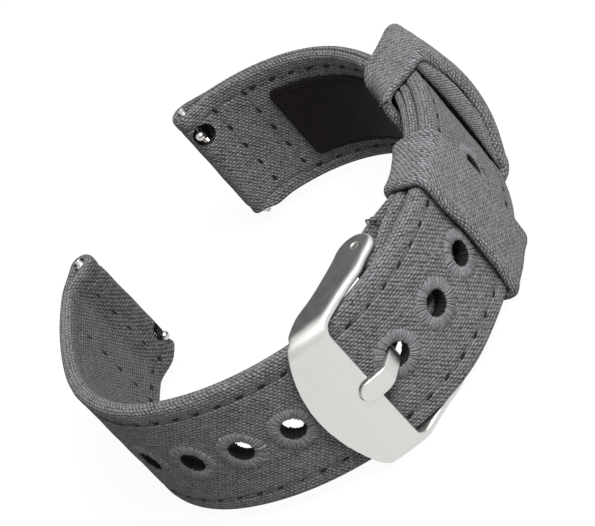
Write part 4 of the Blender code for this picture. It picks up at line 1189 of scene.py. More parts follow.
@dataclass
class ShortStrap(Strap):
    """Short strap, folded round the buckle bar and the lug bar, with the tang's slot."""

    kind: str = "short"
    ply: float = 1.06
    top: float = -SIZES.cloth_gap
    bottom: float = -SIZES.cloth_gap - SIZES.thickness
    rows: tuple[float, ...] = (-8.75, 8.5)
    cross_rows: tuple[float, ...] = (161.3, 167.0)
    cross: tuple[float, float] = (-8.6, 8.4)
    bar: tuple[float, float] = SIZES.short_bar
    edges: tuple[float, float] = (0.76, 0.26)
    widest: tuple[float, float] = (86.0, 0.22)
    notch: tuple[float, ...] = (170.85, 6.6, 1.75, -4.4, -2.1)
    seed: int = 7
    sewn: tuple[float, float] = (132.0, 161.5)
    sewn_inside: tuple[float, float] = (97.5, 161.5)
    slot: tuple[float, float, float] = (79.0, 88.4, 1.4)
    slot_levels: tuple[float, float] = (-6.0, 1.2)
    buckle_ease: float = 14.0
    buckle_room: float = 0.55
    buckle_slack: float = 0.95

    def level(self, at: float) -> float:
        """Level of the outer layer, a little raised under the loose keeper."""
        return self.outer + 0.14 * math.exp(-(((at - 121.0) / 6.0) ** 4))

    def build(self) -> None:
        """Builds the canvas and sews both edges on both faces."""
        hinge, bar = SIZES.hinge, self.bar
        path = Path().run(SIZES.seam[0], hinge[0] + self.buckle_ease, self.inner)
        path.fold(hinge, -1.0, -1.0, (self.inner, self.outer), SIZES.fold_radius + self.buckle_room,
                  self.buckle_ease, self.buckle_slack)
        path.run(hinge[0] + self.buckle_ease, bar[0] - SIZES.fold_ease, self.level)
        path.fold(bar, 1.0, 1.0, (self.outer, self.inner), SIZES.fold_radius + 0.02)
        path.run(bar[0] - SIZES.fold_ease, SIZES.seam[1], self.inner)
        start, end, half = self.slot
        outline = [(start, -half), (end, -half), (end, half), (start, half)]
        slot = loop_block("slot", outline, *self.slot_levels)
        rows = []
        for across in self.rows:
            for (start, end), level, face in (
                (self.sewn_inside, self.bottom + 0.10, Face.LEFT), (self.sewn, self.top - 0.12, Face.RIGHT),
            ):
                rows.append(straight_row((start, across), (end, across), level, face))
        self.mount(self.canvas(path, Face.RIGHT, [slot], self.finishes.canvas), rows)


def loop_block(name: str, outline: Sequence[tuple[float, float]], low: float,
               high: float) -> bpy.types.Object:
    """Closed block over an outline of (loop place, across) points, between two levels."""
    count = len(outline)
    verts = [LOOP.place(at, level, across) for level in (low, high) for at, across in outline]
    faces = [tuple(range(count)), tuple(range(2 * count - 1, count - 1, -1))]
    faces += [(k, (k + 1) % count, count + (k + 1) % count, count + k) for k in range(count)]
    return add_object(name, new_mesh(name, verts, faces, even=True))


@dataclass
class LeatherPatch:
    """Leather backing, sewn on round its edge."""

    finishes: Finishes
    sewing: Sewing
    start: float = 116.0
    end: float = 158.0
    half: float = 6.9
    thickness: float = 0.62
    inset: float = 0.75

    def build(self) -> None:
        """Builds the leather and its dark stitches."""
        under = -SIZES.cloth_gap - SIZES.thickness
        middle = under - self.thickness / 2 + 0.02
        path = Path().run(self.start, self.end, middle, step=0.4)

        def lift(at: np.ndarray, across: np.ndarray, face: np.ndarray) -> np.ndarray:
            """Sewn-in edge and a slight fill."""
            edge_gap = np.minimum(self.half - np.abs(across), np.minimum(at - self.start, self.end - at))
            channel = -0.13 * np.exp(-(((edge_gap - self.inset) / 0.3) ** 2))
            fill = 0.10 * (1.0 - np.exp(-np.maximum(edge_gap, 0.0) / 1.6))
            return np.where(face > 0.5, channel + fill, 0.0)

        def width(at: float, along: float, total: float) -> float:
            """Half width with round corners."""
            left = min(along, total - along) / 0.8
            half = self.half + 0.07 * math.sin(2.1 * at) + 0.05 * math.sin(5.3 * at)
            return half if left >= 1.0 else half - 0.8 * (1.0 - math.sqrt(max(0.0, 1 - (1 - left) ** 2)))

        rows = (-(self.half - self.inset), self.half - self.inset)
        band = Band(path, self.half, self.thickness, 0.22, 0.10, width, rows, spread=0.5,
                    seen=Face.LEFT, dent=lift, edge_steps=3)
        piece = add_object("leather_patch", band.build("leather_patch"), self.finishes.leather)
        ride(piece, "strap", ("leather_backing",))
        level = under - self.thickness + 0.06
        edge = self.half - self.inset
        start, end = self.start + 1.0, self.end - self.inset
        corners = ((start, edge), (end, edge), (end, -edge), (start, -edge))
        sewn = [straight_row(here, there, level, Face.LEFT) for here, there in zip(corners, corners[1:])]
        fine = Sewing(self.sewing.graph, pitch=2.2, length=1.7, thread=0.13, spot=0.14, spot_length=0.4)
        stitches = fine.sew("leather_stitches", sewn, self.finishes.leather_thread, self.finishes.needle, 11)
        ride(stitches, "strap")


@dataclass
class Eyelets:
    """Ten thread-wrapped eyelets."""

    finishes: Finishes
    graph: NodeGraph
    bore: float = 1.68
    ring: float = 3.70
    threads: int = 42
    thread: float = 0.23

    def thread_mesh(self) -> bpy.types.Mesh:
        """One thread: up the bore, over the lip and out to its end, in (radial, side, level)."""
        top = SIZES.thickness
        wrap = self.bore + self.thread
        line = [
            (wrap + 0.15, 0.02), (wrap + 0.12, top * 0.40), (wrap, top * 0.80), (wrap + 0.08, top - 0.06),
            (wrap + 0.30, top + 0.07), (wrap + 0.75, top + 0.10), (self.ring - 0.80, top + 0.08),
            (self.ring - 0.35, top + 0.02), (self.ring, top - 0.16),
        ]
        radii = [0.8, 0.85, 0.9, 0.95, 1.0, 1.0, 1.0, 0.9, 0.45]
        sides = 6
        verts = []
        for i, ((radial, level), share) in enumerate(zip(line, radii)):
            before = line[max(i - 1, 0)]
            after = line[min(i + 1, len(line) - 1)]
            step = np.array([after[0] - before[0], after[1] - before[1]])
            step /= np.linalg.norm(step)
            normal = np.array([-step[1], step[0]])
            girth = max(self.thread * 0.8, 1.10 * math.pi * radial / self.threads) * min(1.0, share + 0.1)
            for k in range(sides):
                angle = 2 * math.pi * k / sides
                out = math.cos(angle) * self.thread * share
                verts.append((
                    (radial + out * normal[0]) * MM,
                    math.sin(angle) * girth * MM,
                    (level + out * normal[1] - top) * MM,
                ))
        faces = ring_faces(len(line), sides) + end_caps(len(line), sides)
        return new_mesh("eyelet_thread", verts, faces, even=True)

    def pad(self) -> bpy.types.Mesh:
        """Ring of padding under the threads, with a sleeve down the hole."""
        top = SIZES.thickness
        wall = self.bore + self.thread * 0.7
        profile = [
            (wall, 0.05), (wall, top - 0.15), (wall + 0.30, top + 0.15), (self.ring - 0.8, top + 0.13),
            (self.ring - 0.30, top - 0.02), (wall + 0.45, top - 0.30), (wall + 0.45, 0.05),
        ]
        steps = 40
        verts = []
        for i in range(steps):
            angle = 2 * math.pi * i / steps
            across, along = math.cos(angle), math.sin(angle)
            verts += [(radius * across * MM, radius * along * MM, (level - top) * MM)
                      for radius, level in profile]
        return new_mesh("pad", verts, ring_faces(steps, len(profile), closed=True), even=True)

    def bend(self, mesh: bpy.types.Mesh, at: float) -> None:
        """Moves a flat eyelet onto the strap's curve."""
        radius = LOOP.radius(at)
        top = SIZES.thickness
        for vert in mesh.vertices:
            x, y, z = (value / MM for value in vert.co)
            level = z + top
            vert.co = LOOP.place(at + x * radius / (radius + level), level, y)

    def build(self) -> None:
        """Builds each eyelet as threads over padding."""
        for number, at in enumerate(SIZES.eyelets, start=1):
            name = f"eyelet_{number:02d}_threads"
            piece = add_object(name, self.thread_mesh())
            self.graph.run(piece, {
                "Threads": self.threads,
                "Seed": number,
                "Fray": 0.45,
                "Fray From": (self.ring - 1.0) * MM,
                "Fray To": self.ring * MM,
                "Finish": self.finishes.eyelet,
            })
            with reshaped(piece.data) as shape:
                shape.from_mesh(self.pad())
            piece.data.materials.clear()
            for finish in (self.finishes.eyelet, self.finishes.hollow):
                piece.data.materials.append(finish)
            # Faces below the eyelet's top, down the bore, get painted shade.
            for face in piece.data.polygons:
                face.material_index = 1 if face.center.z < -0.12 * MM else 0
            self.bend(piece.data, at)
            piece.data.shade_smooth()
            ride(piece, "strap", (f"eyelet_{number:02d}",))


@dataclass
class Keeper:
    """A closed band of folded canvas round both straps."""

    finishes: Finishes
    name: str
    node: str
    body: str
    at: float
    width: float
    low: float
    high: float
    arch: float
    tilt: float = 0.0
    slant: float = 0.0
    wall: float = 1.25
    corner: float = 1.6
    bulge: float = 0.14
    hem: float = 0.0
    lining: float | None = None
    seed: int = 1

    def outline(self) -> np.ndarray:
        """Middle line of the wall, as (across, level), evenly spaced."""
        half = SIZES.half_width + SIZES.cloth_gap + self.wall / 2
        low, high = self.low - self.wall / 2, self.high + self.wall / 2
        corner = self.corner
        points: list[tuple[float, float]] = []

        def arc(cx: float, cy: float, start: float) -> None:
            """Adds a quarter circle."""
            for i in range(7):
                angle = start + math.pi / 2 * i / 6
                points.append((cx + corner * math.cos(angle), cy + corner * math.sin(angle)))

        arc(half - corner, low + corner, -math.pi / 2)
        arc(half - corner, high + self.tilt - corner, 0.0)
        span = half - corner
        for i in range(1, 24):
            share = 1.0 - 2.0 * i / 24
            points.append((span * share, high + self.tilt * share + self.arch * (1.0 - share * share)))
        arc(corner - half, high - self.tilt - corner, math.pi / 2)
        arc(corner - half, low + corner, math.pi)
        line = np.array(points + points[:1])
        lengths = np.concatenate([[0.0], np.cumsum(np.linalg.norm(np.diff(line, axis=0), axis=1))])
        count = int(lengths[-1] / 0.42)
        even = np.linspace(0.0, lengths[-1], count, endpoint=False)
        return np.stack([np.interp(even, lengths, line[:, axis]) for axis in (0, 1)], axis=1)

    def build(self) -> None:
        """Builds the band with soft rolled edges and mounts it."""
        line = self.outline()
        ahead = np.roll(line, -1, axis=0) - np.roll(line, 1, axis=0)
        ahead /= np.linalg.norm(ahead, axis=1)[:, None]
        normals = np.stack([ahead[:, 1], -ahead[:, 0]], axis=1)
        half, thick = self.width / 2, self.wall / 2
        edge = thick
        flat = np.linspace(edge - half, half - edge, 22)
        section: list[tuple[float, float, float]] = []
        for sign, run in ((1.0, flat), (-1.0, flat[::-1])):
            section += [(v, sign * thick, sign) for v in run]
            section += [(sign * (half - edge + edge * math.sin(turn)), sign * edge * math.cos(turn), 0.0)
                        for turn in (math.pi * i / 8 for i in range(1, 8))]
        steps = np.linalg.norm(np.roll(line, -1, axis=0) - line, axis=1)
        walk = np.concatenate([[0.0], np.cumsum(steps)])
        chance = random.Random(self.seed)
        phases = [chance.uniform(0.0, 2.0 * math.pi) for _ in range(4)]
        verts = []
        span = self.high - self.low
        for i, ((across, level), normal) in enumerate(zip(line, normals)):
            turn = 2 * math.pi * i / len(line)
            wander = 0.10 * math.sin(3 * turn + phases[0]) + 0.06 * math.sin(7 * turn + phases[1])
            for along, lift, face in section:
                hem = math.exp(-(((half - abs(along)) - 1.0) / 0.8) ** 2)
                hollow = -0.5 * self.bulge * math.cos(math.pi * along / self.width)
                puff = self.bulge * hem + hollow if face > 0 else 0.0
                soft = 0.03 * math.sin(5 * turn + along * 1.3 + phases[2])
                top = clamped((level - self.high) / 1.2 + 0.25)
                roll = eased(clamped((abs(along) - half + 2.2) / 1.4))
                out = lift * (1.0 + self.hem * top * roll) if lift < 0 else lift
                out += puff + soft
                side = across + normal[0] * out
                height = level + normal[1] * out
                lead = self.slant * ((height - self.low) / span - 0.5)
                verts.append(LOOP.place(self.at + lead + along + wander * (along / half), height, side))
        rounds = round_lengths(np.array(verts).reshape(len(line), len(section), 3) / MM)
        mesh = skin(self.name, verts, walk, rounds)
        mesh.shade_smooth()
        piece = add_object(self.name, mesh, self.finishes.keeper)
        ride(piece, self.body, (self.node,))
        if self.lining is not None:
            # The inner ply takes the lighter canvas copy, painted light.
            strip = add_object(f"{self.name}_lining", self.lining_mesh(), self.finishes.strip)
            ride(strip, self.body)

    def lining_mesh(self) -> bpy.types.Mesh:
        """Bulged inner ply under the arched top, set back from both hems."""
        half = SIZES.half_width + SIZES.cloth_gap + 0.35
        reach, edge = self.width / 2 - 0.55, 0.45
        section = []
        for sign in (1.0, -1.0):
            section += [(sign * value, sign) for value in np.linspace(edge - reach, reach - edge, 12)]
            section += [(sign * (reach - edge + edge * math.sin(turn)), sign * math.cos(turn))
                        for turn in (math.pi / 6, math.pi / 3, math.pi / 2)]
        places = np.linspace(-half, half, 49)
        span = self.high - self.low
        verts = []
        for across in places:
            arch = 1.0 - (across / half) ** 2
            over = self.lining + 0.9 + 1.75 * arch + 0.35 * across / half
            for along, up in section:
                rear = eased(clamped((along + 1.0) / 3.0))
                under = SIZES.thickness + 0.04 + (0.60 - 0.55 * rear) * arch
                middle = (under + over) / 2
                lead = self.slant * ((middle - self.low) / span - 0.5)
                verts.append(LOOP.place(self.at + lead + along, middle + up * (over - under) / 2, across))
        rounds = round_lengths(np.array(verts).reshape(len(places), len(section), 3) / MM)
        mesh = skin(f"{self.name}_lining", verts, places, rounds, section)
        smooth(mesh, 50.0)
        return mesh


def smooth_line(points: Sequence[tuple[float, float]], steps: int) -> list[tuple[float, float]]:
    """Points of a smooth curve through the given ones."""
    line = []
    padded = [points[0]] + list(points) + [points[-1]]
    for before, start, end, after in zip(padded, padded[1:], padded[2:], padded[3:]):
        for i in range(steps):
            t = i / steps
            line.append(tuple(
                0.5 * (
                    2 * start[k] + (end[k] - before[k]) * t
                    + (2 * before[k] - 5 * start[k] + 4 * end[k] - after[k]) * t * t
                    + (3 * start[k] - before[k] - 3 * end[k] + after[k]) * t * t * t
                )
                for k in (0, 1)
            ))
    line.append(tuple(points[-1]))
    return line


def flat_plate(name: str, outline: Sequence[tuple[float, float]], thickness: float, edge: float,
               steps: int) -> bpy.types.Mesh:
    """Flat plate with round edges over an outline, centred on its middle plane.

    Args:
        name: The mesh's name.
        outline: Corner points, in millimetres.
        thickness: Thickness of the plate.
        edge: Radius of its round edges.
        steps: Faces over each round edge.

    Returns:
        The closed mesh, in metres.
    """
    area = sum(a[0] * b[1] - b[0] * a[1] for a, b in zip(outline, list(outline[1:]) + [outline[0]]))
    points = [Vector(p) for p in (outline if area > 0 else outline[::-1])]
    inward = []
    for before, spot, after in zip(points[-1:] + points[:-1], points, points[1:] + points[:1]):
        back, ahead = (spot - before).normalized(), (after - spot).normalized()
        side = Vector((-back.y - ahead.y, back.x + ahead.x)).normalized()
        inward.append(side / max(side.dot(Vector((-ahead.y, ahead.x))), 0.5))
    rings = []
    for sign in (-1, 1):
        turns = [math.pi / 2 * i / steps for i in range(steps + 1)]
        for turn in (turns if sign < 0 else turns[::-1]):
            inset = edge * (1.0 - math.sin(turn))
            height = sign * (thickness / 2 - edge + edge * math.cos(turn))
            rings.append([(p.x + s.x * inset, p.y + s.y * inset, height) for p, s in zip(points, inward)])
    count = len(points)
    verts = [tuple(value * MM for value in spot) for ring in rings for spot in ring]
    faces = [tuple(range(count))[::-1], tuple(range(len(verts) - count, len(verts)))]
    for i in range(len(rings) - 1):
        for k in range(count):
            n = (k + 1) % count
            faces.append((i * count + k, i * count + n, (i + 1) * count + n, (i + 1) * count + k))
    return new_mesh(name, verts, faces)


@dataclass
class Buckle:
    """Buckle frame: two shaped arms and a bowed plate with the tang's recess."""

    finishes: Finishes
    half: float = 12.7
    arm: float = 1.4
    eye: float = 2.7
    plate_under: float = 2.82
    plate: float = 1.3
    back: float = 73.7
    front: float = 65.8
    bow: float = 3.3
    edge: float = 0.30
    nose: float = 3.5
    voxel: float = 0.15
    bend_reach: float = 2.4
    recess: float = 0.55
    recess_end: float = 71.55
    recess_half: float = 1.85
    eye_hole: float = 0.54
    eye_dish: float = 0.95
    arm_edge: float = 0.55
    fillet: float = 1.3
    bend: float = 2.4
    upper: tuple[tuple[float, float], ...] = (
        (83.7, 0.20), (81.9, 0.78), (79.8, 1.02), (77.6, 1.65), (75.8, 2.52), (74.2, 3.45),
        (72.8, 4.10), (71.2, 4.25), (69.94, 4.28),
    )
    lower: tuple[tuple[float, float], ...] = (
        (85.2, -5.52), (83.7, -5.62), (81.9, -5.22), (77.9, -4.08), (74.4, -2.62), (72.7, -1.90),
        (71.2, -1.02), (69.98, 0.50), (69.35, 1.95),
    )

    @property
    def top(self) -> float:
        """Level of the plate's outer face."""
        return self.plate_under + self.plate

    def plate_piece(self) -> bpy.types.Object:
        """Bowed plate, swept along the loop with the tip's recess pressed in."""
        middle = (self.plate_under + self.top) / 2
        places = list(np.linspace(self.front + 0.012, self.front + 0.5, 12))
        places += list(np.linspace(self.front + 0.5, self.back - 2.9, 18)[1:])
        places += list(np.linspace(self.back - 2.9, self.back, 22)[1:])
        path = Path()
        for at in places:
            path.add(at, LOOP.spot(at, middle))

        def width(at: float, along: float, total: float) -> float:
            """Half width on the bowed front, rounded into the sides."""
            bowed = self.half * math.sqrt(max(at - self.front, 0.0) / self.bow)
            return min(bowed, self.half - 0.05)

        band = Band(path, self.half, self.plate, self.edge, None, width, spread=0.6,
                    seen=Face.RIGHT, edge_steps=3)
        return add_object("plate", band.build("plate"), self.finishes.brushed)

    def arm_outline(self) -> list[tuple[float, float]]:
        """Side outline of an arm, as (loop place, level)."""
        hinge_at, hinge_level = SIZES.hinge
        nose = (self.front + self.nose, (self.plate_under + self.top) / 2)
        eye = []
        for i in range(21):
            angle = -math.pi / 3 + 5 * math.pi / 6 * i / 20
            eye.append((hinge_at + self.eye * math.cos(angle), hinge_level + self.eye * math.sin(angle)))
        upper = smooth_line([eye[-1], *self.upper, nose], 6)[1:]
        lower = smooth_line([eye[0], *self.lower, nose], 6)[-2:0:-1]
        return eye + upper + lower

    def arm_piece(self, side: Side) -> bpy.types.Object:
        """One arm, bent onto the loop."""
        mesh = flat_plate("arm", self.arm_outline(), self.arm, self.arm_edge, 4)
        middle = side.value * (self.half - self.arm / 2)
        for vert in mesh.vertices:
            x, y, z = (value / MM for value in vert.co)
            vert.co = LOOP.place(x, y, z + middle)
        face_out(mesh, even=True, merge=1e-6)
        return add_object("arm", mesh, self.finishes.brushed)

    def soften(self, mesh: bpy.types.Mesh) -> None:
        """Rounds the whole frame a little and the two bends between plate and arms a lot."""
        count = len(mesh.vertices)
        points = np.empty(count * 3)
        mesh.vertices.foreach_get("co", points)
        points = points.reshape(-1, 3) / MM
        edges = np.empty(len(mesh.edges) * 2, int)
        mesh.edges.foreach_get("vertices", edges)
        edges = edges.reshape(-1, 2)
        degree = np.bincount(edges.ravel(), minlength=count)[:, None]
        points = self.roll_bends(points)
        near = np.zeros((count, 1))
        for side in Side:
            spots = [(at, self.top, self.half, self.bend_reach)
                     for at in np.linspace(self.front + 1.5, self.back, 12)]
            spots.append((self.back + 0.6, self.top - 0.8, self.half - self.arm - 0.3, 1.3))
            spots += [(at, level, self.half, 1.9) for at, level in self.upper_edge()]
            for at, level, across, reach in spots:
                spot = np.array(LOOP.place(at, level, side.value * across)) / MM
                gap = np.linalg.norm(points - spot, axis=1)
                near = np.maximum(near, np.clip(1.5 - 1.5 * gap / reach, 0.0, 1.0)[:, None])
        for turn in range(46):
            total = np.zeros_like(points)
            np.add.at(total, edges[:, 0], points[edges[:, 1]])
            np.add.at(total, edges[:, 1], points[edges[:, 0]])
            weight = near * 0.9 if turn >= 6 else np.maximum(near * 0.9, 0.6)
            points = points + weight * (total / degree - points)
        mesh.vertices.foreach_set("co", (points * MM).ravel())
        mesh.update()

    def roll_bends(self, points: np.ndarray) -> np.ndarray:
        """Moves the sharp corner between plate and arms onto a round bend.

        Args:
            points: Vertices, in millimetres.

        Returns:
            The moved vertices.
        """
        places = np.linspace(self.front, self.back + 3.0, 240)
        frames = [LOOP.frame(at) for at in places]
        line = np.stack([point + self.top * outward for point, _, outward in frames])
        outs = np.stack([outward for _, _, outward in frames])
        moved = points.copy()
        chosen = np.flatnonzero(np.abs(points[:, 2] - LOOP.middle) > self.half - self.bend - 0.1)
        corner = points[chosen]
        nearest = np.argmin(np.linalg.norm(corner[:, None, :2] - line[None], axis=2), axis=1)
        rise = corner[:, 2] - LOOP.middle
        depth = -np.sum((corner[:, :2] - line[nearest]) * outs[nearest], axis=1)
        inward = self.half - np.abs(rise)
        radius = self.bend * np.clip((self.back + 3.0 - places[nearest]) / 3.0, 0.05, 1.0)
        down, back = radius - depth, radius - inward
        away = np.hypot(down, back)
        outside = (down > 0.0) & (back > 0.0) & (away > radius)
        pull = np.where(outside, 1.0 - radius / np.maximum(away, 1e-6), 0.0)
        moved[chosen, :2] -= outs[nearest] * (down * pull)[:, None]
        moved[chosen, 2] -= np.sign(rise) * back * pull
        return moved

    def upper_edge(self) -> list[tuple[float, float]]:
        """Places and levels along the arm's edge towards the window."""
        hinge_at, hinge_level = SIZES.hinge
        return smooth_line([(hinge_at, hinge_level + self.eye), *self.upper[:7]], 4)

    def fillet_block(self, side: Side) -> bpy.types.Object:
        """Web that rounds the window's corner between the plate's back edge and an arm."""
        wall, radius = self.half - self.arm, self.fillet
        outline = [(self.back - 0.5, wall - radius)]
        for i in range(9):
            angle = math.pi - math.pi / 2 * i / 8
            outline.append((self.back + radius + radius * math.cos(angle),
                            wall - radius + radius * math.sin(angle)))
        outline += [(self.back + radius, wall + 0.5), (self.back - 0.5, wall + 0.5)]
        web = loop_block("web", [(at, side.value * across) for at, across in outline],
                         self.plate_under - 0.3, self.top - 0.1)
        count = len(outline)
        for vert, (at, across) in zip(web.data.vertices[count:], outline):
            drop = max(at - self.back, 0.0) * 0.85
            vert.co = LOOP.place(at, self.top - 0.1 - drop, side.value * across)
        return web

    def recess_cutter(self) -> bpy.types.Object:
        """Block with a round end that presses the tip's seat into the plate's back edge."""
        middle = self.recess_end + self.recess_half
        outline = [(self.back + 1.0, -self.recess_half), (self.back + 1.0, self.recess_half)]
        for i in range(25):
            angle = math.pi / 2 + math.pi * i / 24
            outline.append((middle + self.recess_half * math.cos(angle), self.recess_half * math.sin(angle)))
        return loop_block("tip_seat", outline, self.top - self.recess, self.top + 1.5)

    def eye_cutters(self) -> list[bpy.types.Object]:
        """Cylinder through both eyes and a ball for the dish round each of them."""
        meshes = [bpy.data.meshes.new("eye_cut") for _ in range(3)]
        with reshaped(meshes[0]) as pin:
            bmesh.ops.create_cone(pin, cap_ends=True, segments=32, radius1=self.eye_hole * MM,
                                  radius2=self.eye_hole * MM, depth=0.03)
            bmesh.ops.translate(pin, verts=pin.verts, vec=LOOP.place(*SIZES.hinge, 0.0))
        lift = self.half + self.eye_dish - 0.24
        for mesh, side in zip(meshes[1:], Side):
            with reshaped(mesh) as ball:
                bmesh.ops.create_uvsphere(ball, u_segments=40, v_segments=24, radius=self.eye_dish * MM)
                bmesh.ops.translate(ball, verts=ball.verts, vec=LOOP.place(*SIZES.hinge, side.value * lift))
        return [add_object("eye_cut", mesh) for mesh in meshes]

    def build(self) -> None:
        """Joins plate and arms, rounds the bends, cuts seat and eyes, and mounts the frame."""
        frame_piece = self.plate_piece()
        with reshaped(frame_piece.data) as shape:
            for side in Side:
                for part in (self.arm_piece(side), self.fillet_block(side)):
                    shape.from_mesh(part.data)
                    bpy.data.objects.remove(part)
        remesh = frame_piece.modifiers.new("even", "REMESH")
        remesh.mode = "VOXEL"
        remesh.voxel_size = self.voxel * MM
        settle(frame_piece)
        self.soften(frame_piece.data)
        cut(frame_piece, [self.recess_cutter(), *self.eye_cutters()])
        frame_piece.name = "buckle_steel"
        frame_piece.data.name = "buckle_steel"
        smooth(frame_piece.data, 38.0)
        ride(frame_piece, "buckle", ("buckle_frame",))
        for side, body in ((Side.UPPER, "buckle_upper_tip"), (Side.LOWER, "buckle_lower_tip")):
            self.tip_dome(side, body)

    def tip_dome(self, side: Side, body: str) -> None:
        """Low polished dome on the bar tip that shows in the eye."""
        name = f"{body}_dome"
        where = LOOP.place(*SIZES.hinge, side.value * (self.half - 0.33))
        mesh = bpy.data.meshes.new(name)
        with reshaped(mesh) as shape:
            bmesh.ops.create_uvsphere(shape, u_segments=24, v_segments=12, radius=1.0)
            bmesh.ops.scale(shape, verts=shape.verts, vec=(0.46 * MM, 0.46 * MM, 0.20 * MM))
            bmesh.ops.translate(shape, verts=shape.verts, vec=where)
        mesh.shade_smooth()
        ride(add_object(name, mesh, self.finishes.polished), body)


@dataclass
class Tang:
    """Tang: a curled blank that rises through its eyelet and rests on the plate."""

    finishes: Finishes
    thickness: float = 0.95
    width: float = 2.75
    tip_width: float = 3.2
    head: float = 3.2
    flare: float = 1.9
    plate_top: float = 4.12
    recess: float = 0.45
    back: float = 73.7
    overlap: float = 1.9
    under: tuple[tuple[float, float], ...] = ((0.60, 0.08), (0.93, 0.48), (1.00, 1.00))
    over: tuple[tuple[float, float], ...] = (
        (0.04, -0.44), (0.16, 0.02), (0.36, 0.68), (0.40, 0.80), (0.46, 0.87), (0.60, 0.93), (1.00, 1.00),
    )

    def build(self) -> None:
        """Bends the blank along its line and mounts it."""
        hinge = SIZES.hinge
        radius = SIZES.bar_radius + SIZES.bar_gap + self.thickness / 2
        _, along, outward = LOOP.frame(hinge[0])
        centre = LOOP.spot(*hinge)
        path = Path()
        curl = []
        for i in range(33):
            angle = math.radians(165 - 275 * i / 32)
            curl.append((radius * math.cos(angle), radius * math.sin(angle)))
        for forward, out in curl[:-1]:
            path.add(hinge[0] + forward, centre + forward * along + out * outward)
        seat = self.plate_top - self.recess + SIZES.cloth_gap + self.thickness / 2
        rest = (self.back - self.overlap, seat)
        low_hole = (SIZES.tang_eyelet, SIZES.ply / 2)
        high_hole = (SIZES.tang_eyelet, SIZES.thickness - SIZES.ply / 2 + 0.4)
        shank = [(hinge[0] + curl[-1][0], hinge[1] + curl[-1][1])]
        for start, end, shares in ((hinge, low_hole, self.under), (high_hole, rest, self.over)):
            for forward, rise in shares:
                shank.append((start[0] + (end[0] - start[0]) * forward,
                              start[1] + (end[1] - start[1]) * rise))
        for at, level in smooth_line(shank, 10):
            path.add(at, LOOP.spot(at, level))

        def width(at: float, along_line: float, total: float) -> float:
            """Half width: narrow shank, flared head and round tip."""
            left = total - along_line
            wide = self.tip_width / 2
            if left < wide:
                return wide * math.sqrt(max(0.02, 1.0 - (1.0 - left / wide) ** 2))
            share = clamped((left - self.head) / self.flare)
            return wide + (self.width / 2 - wide) * eased(share)

        band = Band(path, self.tip_width / 2, self.thickness, 0.27, None, width, spread=0.3,
                    seen=Face.RIGHT, edge_steps=4)
        piece = add_object("tang_steel", band.build("tang_steel"), self.finishes.brushed)
        smooth(piece.data, 50.0)
        ride(piece, "tang_body", ("tang",))


@dataclass
class ThreadEnds:
    """Frayed tuft of thread ends that the sewing leaves at a band's edge."""

    finishes: Finishes
    name: str
    body: str
    spot: tuple[float, float, float]
    size: float
    seed: int
    threads: int = 9

    def build(self) -> None:
        """Curls a few short threads round the spot and mounts them as one piece."""
        chance = random.Random(self.seed)
        here = Vector(self.spot)
        mesh = bpy.data.meshes.new(self.name)
        with reshaped(mesh) as shape:
            for _ in range(self.threads):
                way = Vector([chance.uniform(-1, 1) for _ in range(3)]).normalized()
                line = [here - way * 0.3]
                for _ in range(6):
                    way = (way + 1.1 * Vector([chance.uniform(-1, 1) for _ in range(3)])).normalized()
                    reach = line[-1] + way * self.size / 2.5
                    out = reach - here
                    line.append(here + out * min(1.0, self.size / max(out.length, 1e-6)))
                self.tube(shape, line, 0.12)
        mesh.shade_smooth()
        ride(add_object(self.name, mesh, self.finishes.thread), self.body)

    @staticmethod
    def tube(shape: bmesh.types.BMesh, line: Sequence[Vector], radius: float) -> None:
        """Adds a closed six-sided tube along points of (loop place, level, across)."""
        rings = []
        for before, spot, after in zip(line[:1] + line[:-1], line, line[1:] + line[-1:]):
            way = (after - before).normalized()
            side = way.orthogonal().normalized()
            other = way.cross(side)
            rings.append([
                shape.verts.new(LOOP.place(*(spot + radius * (
                    math.cos(math.pi * k / 3) * side + math.sin(math.pi * k / 3) * other))))
                for k in range(6)
            ])
        faces = [shape.faces.new(rings[0]), shape.faces.new(rings[-1][::-1])]
        for first, second in zip(rings, rings[1:]):
            faces += [shape.faces.new((first[k], second[k], second[(k + 1) % 6], first[(k + 1) % 6]))
                      for k in range(6)]
        bmesh.ops.recalc_face_normals(shape, faces=faces)


@dataclass
class SpringBars:
    """Spring-bar pieces: the CAD shapes, smoothed and polished."""

    finishes: Finishes

    def build(self) -> None:
        """Makes a smooth twin of each steel node that has no other dress."""
        dressed = {"buckle_frame", "tang"}
        for body, nodes in frame["record"]["behaviour"]["bodies"].items():
            for node in nodes:
                if node in dressed or not any(word in node for word in ("_bar_", "_tip", "_spring")):
                    continue
                mesh = frame["nodes"][node].data.copy()
                with reshaped(mesh) as shape:
                    bmesh.ops.remove_doubles(shape, verts=shape.verts, dist=2e-6)
                mesh.name = f"{node}_steel"
                smooth(mesh, 38.0)
                piece = add_object(f"{node}_steel", mesh, self.finishes.polished)
                ride(piece, body, (node,))
                if node.endswith("_spring"):
                    self.press(piece, node)

    def press(self, piece: bpy.types.Object, node: str) -> None:
        """Gives a coil spring that a slide deforms its own copy of its mesh.

        Args:
            piece: The spring.
            node: Its CAD node, which the record lists under a slide.
        """
        for joint in frame["joints"]:
            for item in joint.get("deforming_nodes", ()):
                if item["node"] != node:
                    continue
                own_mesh(piece)
                return


